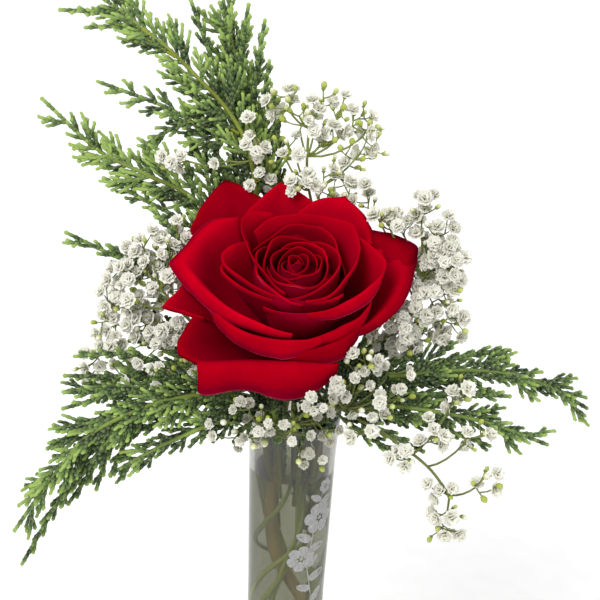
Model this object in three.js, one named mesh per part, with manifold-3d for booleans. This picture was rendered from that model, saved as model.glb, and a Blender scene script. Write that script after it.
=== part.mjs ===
// A red rose in a glass bud vase, with sprays of cedar and baby's breath. Millimetres, +Z up.
// The origin is the middle of the vase's flat base. -Y is the front, where the bloom leans.
import * as THREE from "three";
import { mergeVertices } from "three/addons/utils/BufferGeometryUtils.js";
import Module from "manifold-3d";

const wasm = await Module();
wasm.setup();
const { Manifold, Mesh } = wasm;

// Vase and water
const VASE_SIDES = 28;
const GAP = 0.3;
const WATER_TOP = 187;
const WATER_BOTTOM = 13.6;
const VASE_OUTSIDE = [
  [0, 0],
  [17, 0],
  [18.4, 2.5],
  [18.2, 50],
  [19.4, 126],
  [20.4, 160],
  [21.4, 198],
  [22.7, 216],
  [23.0, 218.8],
  [22.2, 220],
];
const VASE_INSIDE = [
  [20.9, 219.6],
  [20.3, 216],
  [18.9, 198],
  [17.9, 160],
  [16.9, 126],
  [15.7, 50],
  [15.6, 17],
  [13.5, 13.3],
  [0, 13.0],
];

// Rose: hip on the bloom's axis, which leans forward
const HIP = new THREE.Vector3(0, -5, 260);
const LEAN = (22 * Math.PI) / 180;
const ROSE_STEM_R = 2.6;
const PETAL_THICK = 0.9;
const INNER_PETALS = 12;

// Greenery and small flowers
const RACHIS_R = 1.2;
const CEDAR_THICK = 1.2;
const CORD_HALF = 1.15;
const HALF_ROOT = 0.55;
const BREATH_STEM_R = 0.95;
const TWIG_R = 0.5;
const KNOT_R = 0.95;
const FLORET_R = 3.7;
const CLEAR = 0.35;
const BLOOM_FINE = 0.01;
const SPRAY_FINE = 0.03;

const v3 = (x, y, z) => new THREE.Vector3(x, y, z);
const rad = (deg) => (deg * Math.PI) / 180;

// Repeatable draws between 0 and 1
function draws(seed) {
  let state = seed;
  return () => {
    state = (state * 16807) % 2147483647;
    return state / 2147483647;
  };
}

// A closed solid from corner points and triangles, turned to face out
function solidOf(points, faces) {
  const positions = new Float32Array(points.flatMap((p) => [p.x, p.y, p.z]));
  const made = new Manifold(
    new Mesh({ numProp: 3, vertProperties: positions, triVerts: new Uint32Array(faces.flat()) }),
  );
  if (made.volume() >= 0) return made;
  const turned = faces.map(([a, b, c]) => [a, c, b]);
  return new Manifold(
    new Mesh({ numProp: 3, vertProperties: positions, triVerts: new Uint32Array(turned.flat()) }),
  );
}

// Joins pieces into one body and drops corners that stray less than fine from a face
function fused(pieces, fine) {
  const bodies = Manifold.union(pieces).decompose();
  bodies.sort((a, b) => b.volume() - a.volume());
  return bodies[0].simplify(fine);
}

// Length of a line through rows of x, y and z
function lengthOf(rows) {
  return rows.slice(1).reduce((sum, p, i) => sum + v3(...p).distanceTo(v3(...rows[i])), 0);
}

// A smooth value at t (0 to 1) on a curve through rows of numbers
function along(rows, t) {
  const last = rows.length - 1;
  const x = Math.min(Math.max(t, 0), 1) * last;
  const i = Math.min(Math.floor(x), last - 1);
  const f = x - i;
  return rows[0].map((_, k) => {
    const b = rows[i][k];
    const c = rows[i + 1][k];
    const a = i > 0 ? rows[i - 1][k] : 2 * b - c;
    const d = i + 2 <= last ? rows[i + 2][k] : 2 * c - b;
    return (
      0.5 *
      (2 * b + (c - a) * f + (2 * a - 5 * b + 4 * c - d) * f * f + (3 * b - a - 3 * c + d) * f ** 3)
    );
  });
}

// Points spaced along a curve through the given places
function path(places, count) {
  const rows = places.map((p) => (p.isVector3 ? p.toArray() : p));
  return Array.from({ length: count }, (_, i) => v3(...along(rows, i / (count - 1))));
}

// A round rod along a line of points, its ends closed flat
function rod(line, radius, sides) {
  const points = [];
  const faces = [];
  let side = v3(0, 1, 0);
  line.forEach((p, i) => {
    const ahead = line[Math.min(i + 1, line.length - 1)].clone();
    const heading = ahead.sub(line[Math.max(i - 1, 0)]).normalize();
    if (i === 0 && Math.abs(heading.y) > 0.8) side = v3(1, 0, 0);
    side = side.clone().addScaledVector(heading, -side.dot(heading)).normalize();
    const other = heading.clone().cross(side);
    const r = typeof radius === "function" ? radius(i / (line.length - 1)) : radius;
    for (let k = 0; k < sides; k++) {
      const a = (2 * Math.PI * k) / sides;
      points.push(
        p.clone().addScaledVector(side, r * Math.cos(a)).addScaledVector(other, r * Math.sin(a)),
      );
    }
  });
  for (let i = 0; i + 1 < line.length; i++)
    for (let k = 0; k < sides; k++) {
      const a = i * sides + k;
      const b = i * sides + ((k + 1) % sides);
      faces.push([a, b, b + sides], [a, b + sides, a + sides]);
    }
  const top = (line.length - 1) * sides;
  for (let k = 1; k + 1 < sides; k++) {
    faces.push([0, k + 1, k]);
    faces.push([top, top + k, top + k + 1]);
  }
  return solidOf(points, faces);
}

// A round body about the vase's axis from a profile that starts and ends on it
function turned(profile) {
  const shape = new THREE.LatheGeometry(
    profile.map(([r, z]) => new THREE.Vector2(r, z)),
    VASE_SIDES,
  ).rotateX(Math.PI / 2);
  shape.deleteAttribute("normal");
  shape.deleteAttribute("uv");
  const merged = mergeVertices(shape, 1e-4);
  const points = [];
  const at = merged.attributes.position;
  for (let i = 0; i < at.count; i++) points.push(v3(at.getX(i), at.getY(i), at.getZ(i)));
  const faces = [];
  const index = merged.index.array;
  for (let i = 0; i < index.length; i += 3) {
    const [a, b, c] = index.slice(i, i + 3);
    if (a !== b && b !== c && a !== c) faces.push([a, b, c]);
  }
  return solidOf(points, faces);
}

// A thin sheet from rows of points, split the same way on both faces
function sheet(rows, thick) {
  const down = rows.length;
  const across = rows[0].length;
  const points = [];
  const half = thick / 2;
  for (const sign of [1, -1])
    for (let i = 0; i < down; i++)
      for (let j = 0; j < across; j++) {
        const a = rows[Math.min(i + 1, down - 1)][j].clone().sub(rows[Math.max(i - 1, 0)][j]);
        const b = rows[i][Math.min(j + 1, across - 1)].clone().sub(rows[i][Math.max(j - 1, 0)]);
        points.push(rows[i][j].clone().addScaledVector(a.cross(b).normalize(), sign * half));
      }
  const n = down * across;
  const faces = [];
  for (let i = 0; i + 1 < down; i++)
    for (let j = 0; j + 1 < across; j++) {
      const a = i * across + j;
      const [b, c, d] = [a + 1, a + across + 1, a + across];
      faces.push([a, b, c], [a, c, d], [n + a, n + c, n + b], [n + a, n + d, n + c]);
    }
  const edge = [];
  for (let j = 0; j + 1 < across; j++) edge.push(j);
  for (let i = 0; i + 1 < down; i++) edge.push(i * across + across - 1);
  for (let j = across - 1; j > 0; j--) edge.push((down - 1) * across + j);
  for (let i = down - 1; i > 0; i--) edge.push(i * across);
  edge.forEach((a, k) => {
    const b = edge[(k + 1) % edge.length];
    faces.push([a, n + a, n + b], [a, n + b, b]);
  });
  return solidOf(points, faces);
}

// Bloom frame: r and h in mm round and up the bloom's axis, angle in degrees, 0 to the right
function bloomPoint(angle, r, h) {
  const x = r * Math.cos(rad(angle));
  const y = r * Math.sin(rad(angle));
  return v3(
    HIP.x + x,
    HIP.y + y * Math.cos(LEAN) - h * Math.sin(LEAN),
    HIP.z + y * Math.sin(LEAN) + h * Math.cos(LEAN),
  );
}

// Outer petals: margin and crest as rows of angle, radius and height from one side to the other
const OUTER_PETALS = [
  {
    root: [5, 4],
    belly: 8,
    start: 0.2,
    rim: [[155, 60, 30], [140, 66, 37], [122, 70, 40], [113, 57, 40], [101, 46, 36]],
    crest: [[153, 58, 30], [139, 62, 35], [123, 65, 39], [115, 55, 39], [105, 46, 35]],
  },
  {
    root: [5, 5],
    belly: 8,
    start: 0.25,
    rim: [[137, 43, 40], [117, 50, 45], [102, 55, 46], [90, 49, 45], [76, 43, 40]],
    crest: [[135, 42, 40], [116, 47, 44], [103, 51, 45], [91, 46, 44], [79, 41, 40]],
  },
  {
    root: [5, 6],
    belly: 8,
    start: 0.25,
    rim: [[96, 40, 42], [83, 46, 47], [68, 48, 48], [51, 46, 46], [37, 42, 38]],
    crest: [[93, 38, 42], [81, 43, 46], [67, 44, 47], [52, 42, 45], [38, 38, 39]],
  },
  {
    root: [5, 3],
    belly: 7,
    start: 0.2,
    rim: [
      [50, 47, 38], [34, 56, 38], [27, 59, 34], [19, 55, 27], [8, 49, 22], [-11, 38, 19], [-31, 30, 20],
    ],
    crest: [
      [46, 41, 39], [28, 45, 40], [19, 47, 37], [11, 45, 33], [1, 41, 29], [-15, 35, 26], [-34, 31, 26],
    ],
  },
  {
    root: [5, 5],
    belly: 9,
    start: 0.2,
    rim: [
      [132, 45, 44], [142, 56, 40], [160, 60, 34], [167, 61, 31],
      [178, 54, 30], [194, 46, 32], [229, 36, 34], [265, 33, 36],
    ],
    crest: [
      [134, 43, 43], [147, 49, 42], [164, 51, 40], [174, 51, 39],
      [185, 46, 39], [203, 40, 40], [234, 34, 40], [265, 33, 38],
    ],
  },
  {
    root: [5, 4],
    belly: 7,
    start: 0.2,
    rim: [[194, 44, 30], [210, 42, 27], [234, 39, 25], [260, 35, 24], [277, 32, 25], [291, 31, 28]],
    crest: [[194, 43, 33], [214, 40, 34], [233, 38, 35], [258, 35, 36], [276, 34, 36], [289, 32, 34]],
  },
  {
    root: [5, 5],
    belly: 7,
    start: 0.2,
    rim: [[275, 30, 27], [294, 31, 25], [317, 34, 22], [331, 33, 26], [349, 33, 31]],
    crest: [[274, 32, 33], [287, 31, 34], [307, 31, 36], [327, 33, 36], [345, 33, 36]],
  },
  {
    root: [5, 7],
    belly: 6,
    start: 0.25,
    rim: [
      [230, 25, 37], [271, 23, 38], [316, 29, 37], [344, 35, 38],
      [357, 37, 44], [369, 38, 46], [382, 35, 48], [398, 31, 49],
    ],
    crest: [
      [230, 25, 40], [271, 25, 43], [315, 26, 44], [345, 31, 44],
      [359, 36, 45], [369, 36, 46], [380, 34, 48], [396, 30, 49],
    ],
  },
  {
    root: [6, 2],
    belly: 5,
    start: 0.15,
    rim: [[169, 54, 26], [178, 57, 25], [186, 61, 23], [190, 54, 22], [192, 45, 22]],
    crest: [[171, 52, 26], [179, 54, 26], [187, 58, 25], [190, 53, 24], [192, 45, 24]],
  },
  {
    root: [6, 2],
    belly: 5,
    start: 0.15,
    rim: [[188, 47, 20], [196, 55, 18], [201, 59, 15], [207, 58, 12], [213, 54, 10], [224, 45, 10]],
    crest: [[193, 46, 21], [200, 52, 20], [205, 57, 18], [210, 57, 16], [215, 53, 14], [225, 46, 14]],
  },
  {
    root: [6, 2],
    belly: 4,
    start: 0.15,
    rim: [
      [217, 56, 14], [220, 58, 9], [226, 59, 6], [239, 46, 6], [264, 42, 3], [283, 39, 5], [305, 33, 12],
    ],
    crest: [
      [219, 55, 19], [221, 55, 20], [225, 52, 21], [238, 43, 22], [258, 37, 22], [278, 35, 21], [301, 34, 17],
    ],
  },
  {
    root: [6, 8],
    belly: 4,
    start: 0.28,
    rim: [
      [149, 31, 46], [160, 36, 46], [169, 38, 45], [179, 36, 44], [194, 29, 43],
      [221, 23, 43], [257, 19, 43], [292, 22, 44], [322, 25, 45],
    ],
    crest: [
      [152, 28, 47], [163, 33, 47], [172, 35, 46], [181, 34, 46], [198, 27, 46],
      [224, 22, 46], [258, 20, 46], [291, 22, 46], [321, 24, 46],
    ],
  },
  {
    root: [6, 7],
    belly: 4,
    start: 0.28,
    rim: [
      [167, 36, 40], [178, 37, 39], [194, 31, 38], [222, 23, 39], [259, 18, 40], [291, 21, 41], [319, 23, 42],
    ],
    crest: [
      [169, 34, 42], [180, 35, 42], [197, 29, 42], [223, 22, 42], [259, 19, 43], [290, 20, 43], [318, 22, 43],
    ],
  },
  {
    root: [7, 10],
    belly: 3,
    start: 0.34,
    rim: [[245, 20, 47], [203, 19, 49], [165, 26, 50], [144, 36, 51], [129, 38, 51], [117, 33, 52]],
    crest: [[249, 19, 48], [205, 18, 50], [166, 25, 51], [145, 34, 51], [131, 35, 52], [118, 31, 52]],
  },
  {
    root: [7, 10],
    belly: 3,
    start: 0.34,
    rim: [[142, 30, 50], [120, 31, 51], [96, 29, 52], [67, 30, 52], [47, 33, 51], [29, 31, 50]],
    crest: [[142, 28, 50], [120, 29, 51], [95, 27, 52], [66, 28, 52], [47, 31, 51], [30, 29, 50]],
  },
  {
    root: [7, 10],
    belly: 3,
    start: 0.34,
    rim: [[51, 35, 50], [30, 31, 50], [11, 27, 49], [-21, 23, 48], [-55, 23, 47], [-83, 22, 46]],
    crest: [[49, 32, 51], [28, 28, 51], [9, 25, 50], [-22, 21, 49], [-56, 22, 48], [-83, 21, 47]],
  },
];

// Inner petals wind in to the middle, each a golden angle on from the last
function innerPetal(i) {
  const f = 1 - i / INNER_PETALS;
  const radius = 1.2 + 21.5 * f ** 1.08;
  const turn = 75 + i * 137.5;
  const spread = 78 + 50 * (1 - f);
  const rim = [];
  const crest = [];
  for (const t of [-1, -0.55, 0, 0.55, 1]) {
    const point = (0.9 + 1.6 * f) * Math.exp(-((t / 0.3) ** 2));
    const lift = 48.4 + 1.2 * f - (5 + 2 * f) * Math.abs(t) ** 2.4 + point;
    crest.push([turn + spread * t, radius * (1 + 0.05 * t) - 0.9, lift]);
    rim.push([turn + spread * t, radius * (1 + 0.06 * t) + 0.4 + 0.8 * f, lift - 0.5 - 0.5 * f]);
  }
  return { root: [0.8 * radius, 33.4], belly: 1 + radius * 0.06, rim, crest, start: 0 };
}

// A petal rises from its root through a belly to the crest and turns over to its margin
function petalSheet({ root: [r0, h0], belly, rim, crest, start }, across, down) {
  const middle = (crest[0][0] + crest[crest.length - 1][0]) / 2;
  const rows = Array.from({ length: down }, () => []);
  for (let j = 0; j < across; j++) {
    const top = along(crest, j / (across - 1));
    const edge = along(rim, j / (across - 1));
    const turn = middle + (top[0] - middle) * 0.45;
    const [dr, dh] = [top[1] - r0, top[2] - h0];
    const long = Math.hypot(dr, dh);
    const waist = [
      turn + (top[0] - turn) * 0.78,
      r0 + dr * 0.45 + (dh / long) * belly,
      h0 + dh * 0.45 - (dr / long) * belly,
    ];
    for (let i = 0; i < down; i++) {
      const t = i === down - 1 ? 1 : start + ((2 / 3 - start) * i) / (down - 2);
      rows[i].push(bloomPoint(...along([[turn, r0, h0], waist, top, edge], t)));
    }
  }
  return sheet(rows, PETAL_THICK);
}

// A round body about the bloom's axis from rows of radius and height
function bloomBody(profile, sides) {
  const points = [];
  const faces = [];
  for (const [r, h] of profile)
    for (let k = 0; k < sides; k++) points.push(bloomPoint((360 * k) / sides, r, h));
  for (let i = 0; i + 1 < profile.length; i++)
    for (let k = 0; k < sides; k++) {
      const a = i * sides + k;
      const b = i * sides + ((k + 1) % sides);
      faces.push([a, b, b + sides], [a, b + sides, a + sides]);
    }
  const top = (profile.length - 1) * sides;
  for (let k = 1; k + 1 < sides; k++) faces.push([0, k + 1, k], [top, top + k, top + k + 1]);
  return solidOf(points, faces);
}

function makeBloom() {
  const pieces = [bloomBody([[6, 0.3], [15, 4], [20, 12], [21, 22], [20, 34]], 12)];
  for (const petal of OUTER_PETALS) pieces.push(petalSheet(petal, petal.rim.length > 6 ? 7 : 6, 4));
  for (let i = 0; i < INNER_PETALS; i++) pieces.push(petalSheet(innerPetal(i), 6, 3));
  return fused(pieces, BLOOM_FINE);
}

const ROSE_POINTS = 15;
const ROSE_STEM = [
  [9, 3, 18], [12, 1.5, 60], [8, 0, 105], [-3, 0, 137], [-7, -2, 165],
  [-7.5, -3, 190], [-6.5, -4, 214], [-2.5, -4, 240], [0, -3.6, 256.5],
];

// Stem, hip and the five sepals folded back under the bloom
function makeRoseStem() {
  const pieces = [rod(path(ROSE_STEM, ROSE_POINTS), ROSE_STEM_R, 7)];
  pieces.push(bloomBody([[2.2, -9], [4.8, -7], [6, -4], [5.6, -1.4], [4.4, -0.3]], 8));
  for (let k = 0; k < 5; k++) {
    const middle = 30 + 72 * k;
    const rows = [[3.5, -3.6], [9, -4.2], [15, -6.5], [21, -11]].map(([r, h], i) => {
      const half = [2.4, 3.4, 2.4, 0.5][i];
      return [-1, 0, 1].map((s) =>
        bloomPoint(middle + (s * half * 57.3) / r, r, h + (s === 0 ? -0.5 : 0)),
      );
    });
    pieces.push(sheet(rows, 0.8));
  }
  return fused(pieces, BLOOM_FINE);
}

// Cedar: each spray is a bent rachis with flat lobed blades to both sides.
// face is the way its flat side looks, first and last are the shares of the line with blades.
const CEDAR = [
  {
    name: "cedar_back_left_tall",
    seed: 11,
    line: [
      [-7.3, 12.6, 150], [-7.3, 12.6, 206], [-9, 17, 228], [-19, 31, 285], [-30, 38, 342], [-59, 42, 376],
      [-84, 44, 396], [-104, 46, 409],
    ],
    face: [-0.15, -0.88, 0.42],
    first: 0.5,
    blades: 9,
    long: [36, 17],
    side: {
      line: [[-30, 38, 342], [-46, 42, 348], [-62, 46, 357], [-94, 47, 373]],
      blades: 4,
      long: [24, 14],
      first: 0.22,
    },
  },
  {
    name: "cedar_back_left_low",
    seed: 23,
    line: [
      [-12.6, 7.3, 150], [-12.6, 7.3, 206], [-16, 11, 228], [-32, 26, 272], [-50, 33, 309], [-77, 33, 324],
      [-99, 30, 336], [-124, 24, 362],
    ],
    face: [-0.2, -0.85, 0.45],
    first: 0.52,
    blades: 8,
    long: [31, 15],
  },
  {
    name: "cedar_back_fan",
    seed: 37,
    line: [
      [0, 14.6, 150], [0, 14.6, 206], [-1, 19, 228], [-10, 36, 285], [-25, 48, 334], [-32, 54, 362],
      [-38, 58, 382], [-45, 61, 402],
    ],
    face: [0.1, -0.9, 0.4],
    first: 0.56,
    blades: 7,
    long: [34, 18],
  },
  {
    name: "cedar_left",
    seed: 41,
    line: [
      [-14.6, 0, 165], [-14.6, 0, 206], [-19.6, -0.5, 227], [-36, -4, 238], [-56, -11, 241], [-83, -17, 237],
      [-109, -21, 233],
    ],
    face: [-0.1, -0.75, 0.65],
    first: 0.58,
    blades: 5,
    long: [23, 13],
    side: {
      line: [[-36, -4, 238], [-50, 14, 262], [-64, 18, 283], [-82, 14, 286], [-111, 10, 301]],
      blades: 4,
      long: [17, 11],
      first: 0.45,
    },
  },
  {
    name: "cedar_front_left_long",
    seed: 53,
    line: [
      [-12.6, -7.3, 168], [-12.6, -7.3, 206], [-17, -10, 226.5], [-34, -22, 237], [-54, -37, 241],
      [-71, -46, 239], [-94, -56, 229], [-110, -62, 209], [-126, -66, 184],
    ],
    face: [-0.25, -0.75, 0.6],
    first: 0.4,
    blades: 8,
    long: [31, 19],
  },
  {
    name: "cedar_front_left_low",
    seed: 67,
    line: [
      [-7.3, -12.6, 180], [-7.3, -12.6, 206], [-10, -17, 226], [-20, -27, 230], [-35, -37, 227],
      [-54, -47, 222], [-70, -54, 215], [-86, -59, 205],
    ],
    face: [-0.15, -0.75, 0.6],
    first: 0.45,
    blades: 5,
    long: [24, 16],
  },
  {
    name: "cedar_right_high",
    seed: 71,
    line: [
      [7, -4, 168], [7, -4, 206], [14, -4.6, 228], [30, -8, 240], [52, -14, 247], [76, -20, 254],
      [97, -24, 256], [118, -26, 251], [136, -28, 242],
    ],
    face: [0.05, -0.7, 0.7],
    first: 0.42,
    blades: 7,
    long: [29, 16],
  },
  {
    name: "cedar_right_low",
    seed: 83,
    line: [
      [12.6, -7.3, 165], [12.6, -7.3, 206], [17, -10, 226.5], [29, -17, 232], [44, -25, 236], [62, -31, 238],
      [82, -35, 237], [100, -37, 233], [118, -38, 227],
    ],
    face: [0.05, -0.72, 0.68],
    first: 0.44,
    blades: 6,
    long: [25, 14],
  },
];

// Outline of a blade, root to tip and back, with two pointed lobes to each side
function bladeOutline(long) {
  const half = [[long * 0.5, long * 0.25], [long * 0.42, CORD_HALF], [long * 0.82, long * 0.16]];
  half.push([long * 0.76, CORD_HALF * 0.8]);
  const other = half.map(([t, w]) => [t + long * 0.07, -w]).reverse();
  return [...half, [long, 0], ...other];
}

// Where a flat line points at t, which way its flat side looks, and which way is sideways
function frameAt(rows, face, t) {
  const heading = v3(...along(rows, t + 0.004)).sub(v3(...along(rows, t - 0.004))).normalize();
  const look = v3(...face).addScaledVector(heading, -v3(...face).dot(heading)).normalize();
  return { at: v3(...along(rows, t)), heading, look, sideways: heading.clone().cross(look) };
}

// Blades in turn to the left and right of a line, shorter toward its tip
function bladesOn({ line, first, blades, long }, face, next) {
  return Array.from({ length: blades }, (_, i) => {
    const share = i / (blades - 1);
    const t = first + (0.94 - first) * share;
    const hand = i % 2 ? -1 : 1;
    const { at, heading, look, sideways } = frameAt(line, face, t);
    const spread = rad(32 + 12 * next());
    const reach = (long[0] + (long[1] - long[0]) * share) * (0.85 + 0.3 * next());
    const lift = rad(16 * (next() - 0.5));
    const onward = heading.clone().multiplyScalar(Math.cos(spread));
    onward.addScaledVector(sideways, hand * Math.sin(spread)).addScaledVector(look, Math.sin(lift)).normalize();
    const across = onward.clone().cross(look).multiplyScalar(hand).normalize();
    return { t, hand, at, onward, across, up: look, reach };
  });
}

// A flat-sided line with blades growing straight out of its sides. It tapers to its tip.
function frondSolid(spray, face, blades, wide, thick, extra = 0) {
  const { line } = spray;
  const half = (HALF_ROOT * 2) / lengthOf(line);
  const stops = Array.from({ length: line.length }, (_, i) => i / (line.length - 1));
  const free = stops.filter((t) => blades.every((b) => Math.abs(b.t - t) > half * 2.2));
  const stations = [...free, ...blades.flatMap((b) => [b.t - half, b.t + half])].sort((a, b) => a - b);
  const points = [];
  const faces = [];
  for (const t of stations) {
    const { at, look, sideways } = frameAt(line, face, t);
    const a = wide(t) + extra;
    const b = thick(t) + extra;
    for (const [s, l] of [[a, b], [-a, b], [-a, -b], [a, -b]])
      points.push(at.clone().addScaledVector(sideways, s).addScaledVector(look, l));
  }
  stations.slice(1).forEach((t, i) => {
    const blade = blades.find((q) => Math.abs(q.t - half - stations[i]) < 1e-9);
    for (let k = 0; k < 4; k++) {
      const a = 4 * i + k;
      const b = 4 * i + ((k + 1) % 4);
      const grows = blade && k === (blade.hand > 0 ? 3 : 1);
      if (grows) growBlade(points, faces, blade, 4 * i);
      else faces.push([a, b + 4, b], [a, a + 4, b + 4]);
    }
  });
  const top = 4 * (stations.length - 1);
  faces.push([0, 1, 2], [0, 2, 3], [top, top + 2, top + 1], [top, top + 3, top + 2]);
  return solidOf(points, faces);
}

// Adds a blade in place of one side of a line between two of its rings
function growBlade(points, faces, blade, ring) {
  const [upper, lower] = blade.hand > 0 ? [ring, ring + 3] : [ring + 1, ring + 2];
  const tops = [upper];
  const bottoms = [lower];
  const thick = points[upper].distanceTo(points[lower]) / 2;
  for (const [t, w] of bladeOutline(blade.reach)) {
    const q = blade.at.clone().addScaledVector(blade.onward, t).addScaledVector(blade.across, w);
    tops.push(points.length);
    points.push(q.clone().addScaledVector(blade.up, thick));
    bottoms.push(points.length);
    points.push(q.clone().addScaledVector(blade.up, -thick));
  }
  tops.push(upper + 4);
  bottoms.push(lower + 4);
  const flat = tops.map((n) => {
    const q = points[n].clone().sub(blade.at);
    return new THREE.Vector2(q.dot(blade.onward), q.dot(blade.across));
  });
  const around = Math.sign(THREE.ShapeUtils.area(flat));
  const add = (a, b, c) => faces.push(blade.hand > 0 ? [a, b, c] : [a, c, b]);
  for (const [a, b, c] of THREE.ShapeUtils.triangulateShape(flat, [])) {
    const same = Math.sign(THREE.ShapeUtils.area([flat[a], flat[b], flat[c]])) === around;
    const [d, e] = same ? [b, c] : [c, b];
    add(tops[a], tops[d], tops[e]);
    add(bottoms[a], bottoms[e], bottoms[d]);
  }
  for (let i = 0; i + 1 < tops.length; i++) {
    add(bottoms[i], bottoms[i + 1], tops[i + 1]);
    add(bottoms[i], tops[i + 1], tops[i]);
  }
}

// A blade by itself, to test its place
function bladeAlone(blade) {
  const points = [-0.8, 0.8].flatMap((w) =>
    [0.6, -0.6].map((l) =>
      blade.at.clone().addScaledVector(blade.across, w).addScaledVector(blade.up, l),
    ),
  );
  const tip = bladeOutline(blade.reach);
  for (const [t, w] of [tip[0], tip[2], tip[4], tip[8], tip[6]])
    for (const l of [0.6, -0.6])
      points.push(
        blade.at
          .clone()
          .addScaledVector(blade.onward, t)
          .addScaledVector(blade.across, w)
          .addScaledVector(blade.up, l),
      );
  return Manifold.hull(points.map((p) => p.toArray()));
}

// Small sprays: a stem, and clusters of florets as rows of x, y, z, spread and count
const BREATH = [
  {
    name: "breath_back_right",
    seed: 5,
    line: [[7.3, 12.6, 150], [7.3, 12.6, 206], [10, 18, 229], [10, 27, 285], [1, 30, 325], [0, 31, 352]],
    clusters: [
      [-15, 32, 365, 7, 3], [6, 33, 364, 6, 3], [24, 33, 357, 7, 3], [10, 33, 347, 5, 2],
      [24, 30, 340, 7, 2], [-6, 24, 326, 5, 1], [20, 28, 321, 7, 2],
    ],
  },
  {
    name: "breath_back_left",
    seed: 9,
    line: [
      [2, 7, 165], [2, 7, 206], [-4, 19, 229], [-9, 27, 268], [-12, 32, 302], [-15, 33, 322], [-20, 31, 338],
    ],
    clusters: [
      [-29, 29, 357, 2, 1], [-26, 28, 341, 6, 3], [-44, 28, 333, 2, 1], [-64, 27, 333, 6, 3],
      [-21, 31, 324, 5, 2],
    ],
  },
  {
    name: "breath_right",
    seed: 13,
    line: [
      [4, 13, 108], [12, 7, 138], [13.8, 3, 162], [14.4, 0.5, 184], [14.6, 0, 206], [20, 0, 228],
      [36, 4, 250], [50, 6, 270], [58, 5, 290],
    ],
    clusters: [
      [37, 8, 316, 7, 3], [54, 8, 325, 5, 2], [65, 6, 311, 7, 3], [71, 2, 299, 7, 3],
      [67, -2, 283, 8, 3], [72, -4, 271, 6, 2], [53, -4, 272, 8, 3], [54, -6, 258, 7, 2],
      [57, 18, 288, 8, 2],
    ],
  },
  {
    name: "breath_left",
    seed: 17,
    line: [
      [0, 9.5, 132], [-5, 7, 160], [-6.5, 5.5, 184], [-6, 5.5, 206], [-19, 4.8, 230], [-34, 2, 246],
      [-52, -1, 264], [-66, -2, 280],
    ],
    clusters: [
      [-61, 10, 302, 6, 2], [-72, 8, 296, 7, 3], [-84, 4, 284, 7, 3], [-69, 6, 281, 6, 2],
      [-91, 0, 273, 6, 3], [-76, 0, 263, 6, 2], [-94, -2, 260, 7, 2], [-64, 0, 256, 7, 3],
      [-85, -4, 245, 8, 2], [-101, -6, 242, 7, 2], [-61, -24, 249, 7, 2], [-60, 22, 271, 8, 2],
    ],
  },
  {
    name: "breath_front",
    seed: 21,
    line: [
      [-7, 6, 62], [-10, 0, 74], [-8, -8, 86], [0, -11, 98], [8, -6, 108], [10, 2, 120], [6, 6, 130],
      [-1, 5.4, 137], [-9, 2, 142], [-13, -3, 149], [-11, -9, 159], [-4, -13.5, 173], [0, -14, 186],
      [0, -14.6, 206], [-1, -20, 227], [-6, -30, 230], [-12, -38, 228],
    ],
    clusters: [
      [-30, -44, 223, 5, 2], [-25, -45, 243, 6, 2], [-9, -48, 236, 6, 2], [-18, -46, 227, 6, 3],
      [11, -48, 247, 7, 2], [5, -46, 225, 8, 4],
    ],
  },
  {
    name: "breath_front_right",
    seed: 25,
    line: [
      [4, 11, 64], [-3, 11.5, 80], [-11, 5, 92], [-12.5, -3, 104], [-10.5, -8, 113],
      [-4, -12.5, 128], [0, -13, 143], [3, -13, 153], [6, -12.5, 166], [5.5, -12.8, 180], [7.3, -12.6, 206],
      [10.5, -18, 227], [18, -28, 234], [24, -36, 240],
    ],
    clusters: [
      [30, -38, 267, 7, 3], [25, -40, 253, 6, 2], [44, -42, 252, 6, 2], [41, -40, 240, 5, 1],
    ],
  },
  {
    name: "breath_low_right",
    seed: 29,
    line: [
      [4, -7.5, 152], [3.6, -8.5, 184], [4, -8.5, 206], [15, -15, 229], [34, -34, 231], [50, -44, 226],
      [64, -47, 216], [74, -50, 204],
    ],
    clusters: [
      [30, -48, 234, 6, 2], [50, -50, 224, 6, 2], [69, -49, 206, 4, 1], [64, -44, 231, 7, 3],
      [85, -42, 232, 7, 2], [76, -36, 250, 7, 2], [92, -52, 213, 6, 3], [73, -52, 189, 7, 3],
    ],
  },
];

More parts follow.
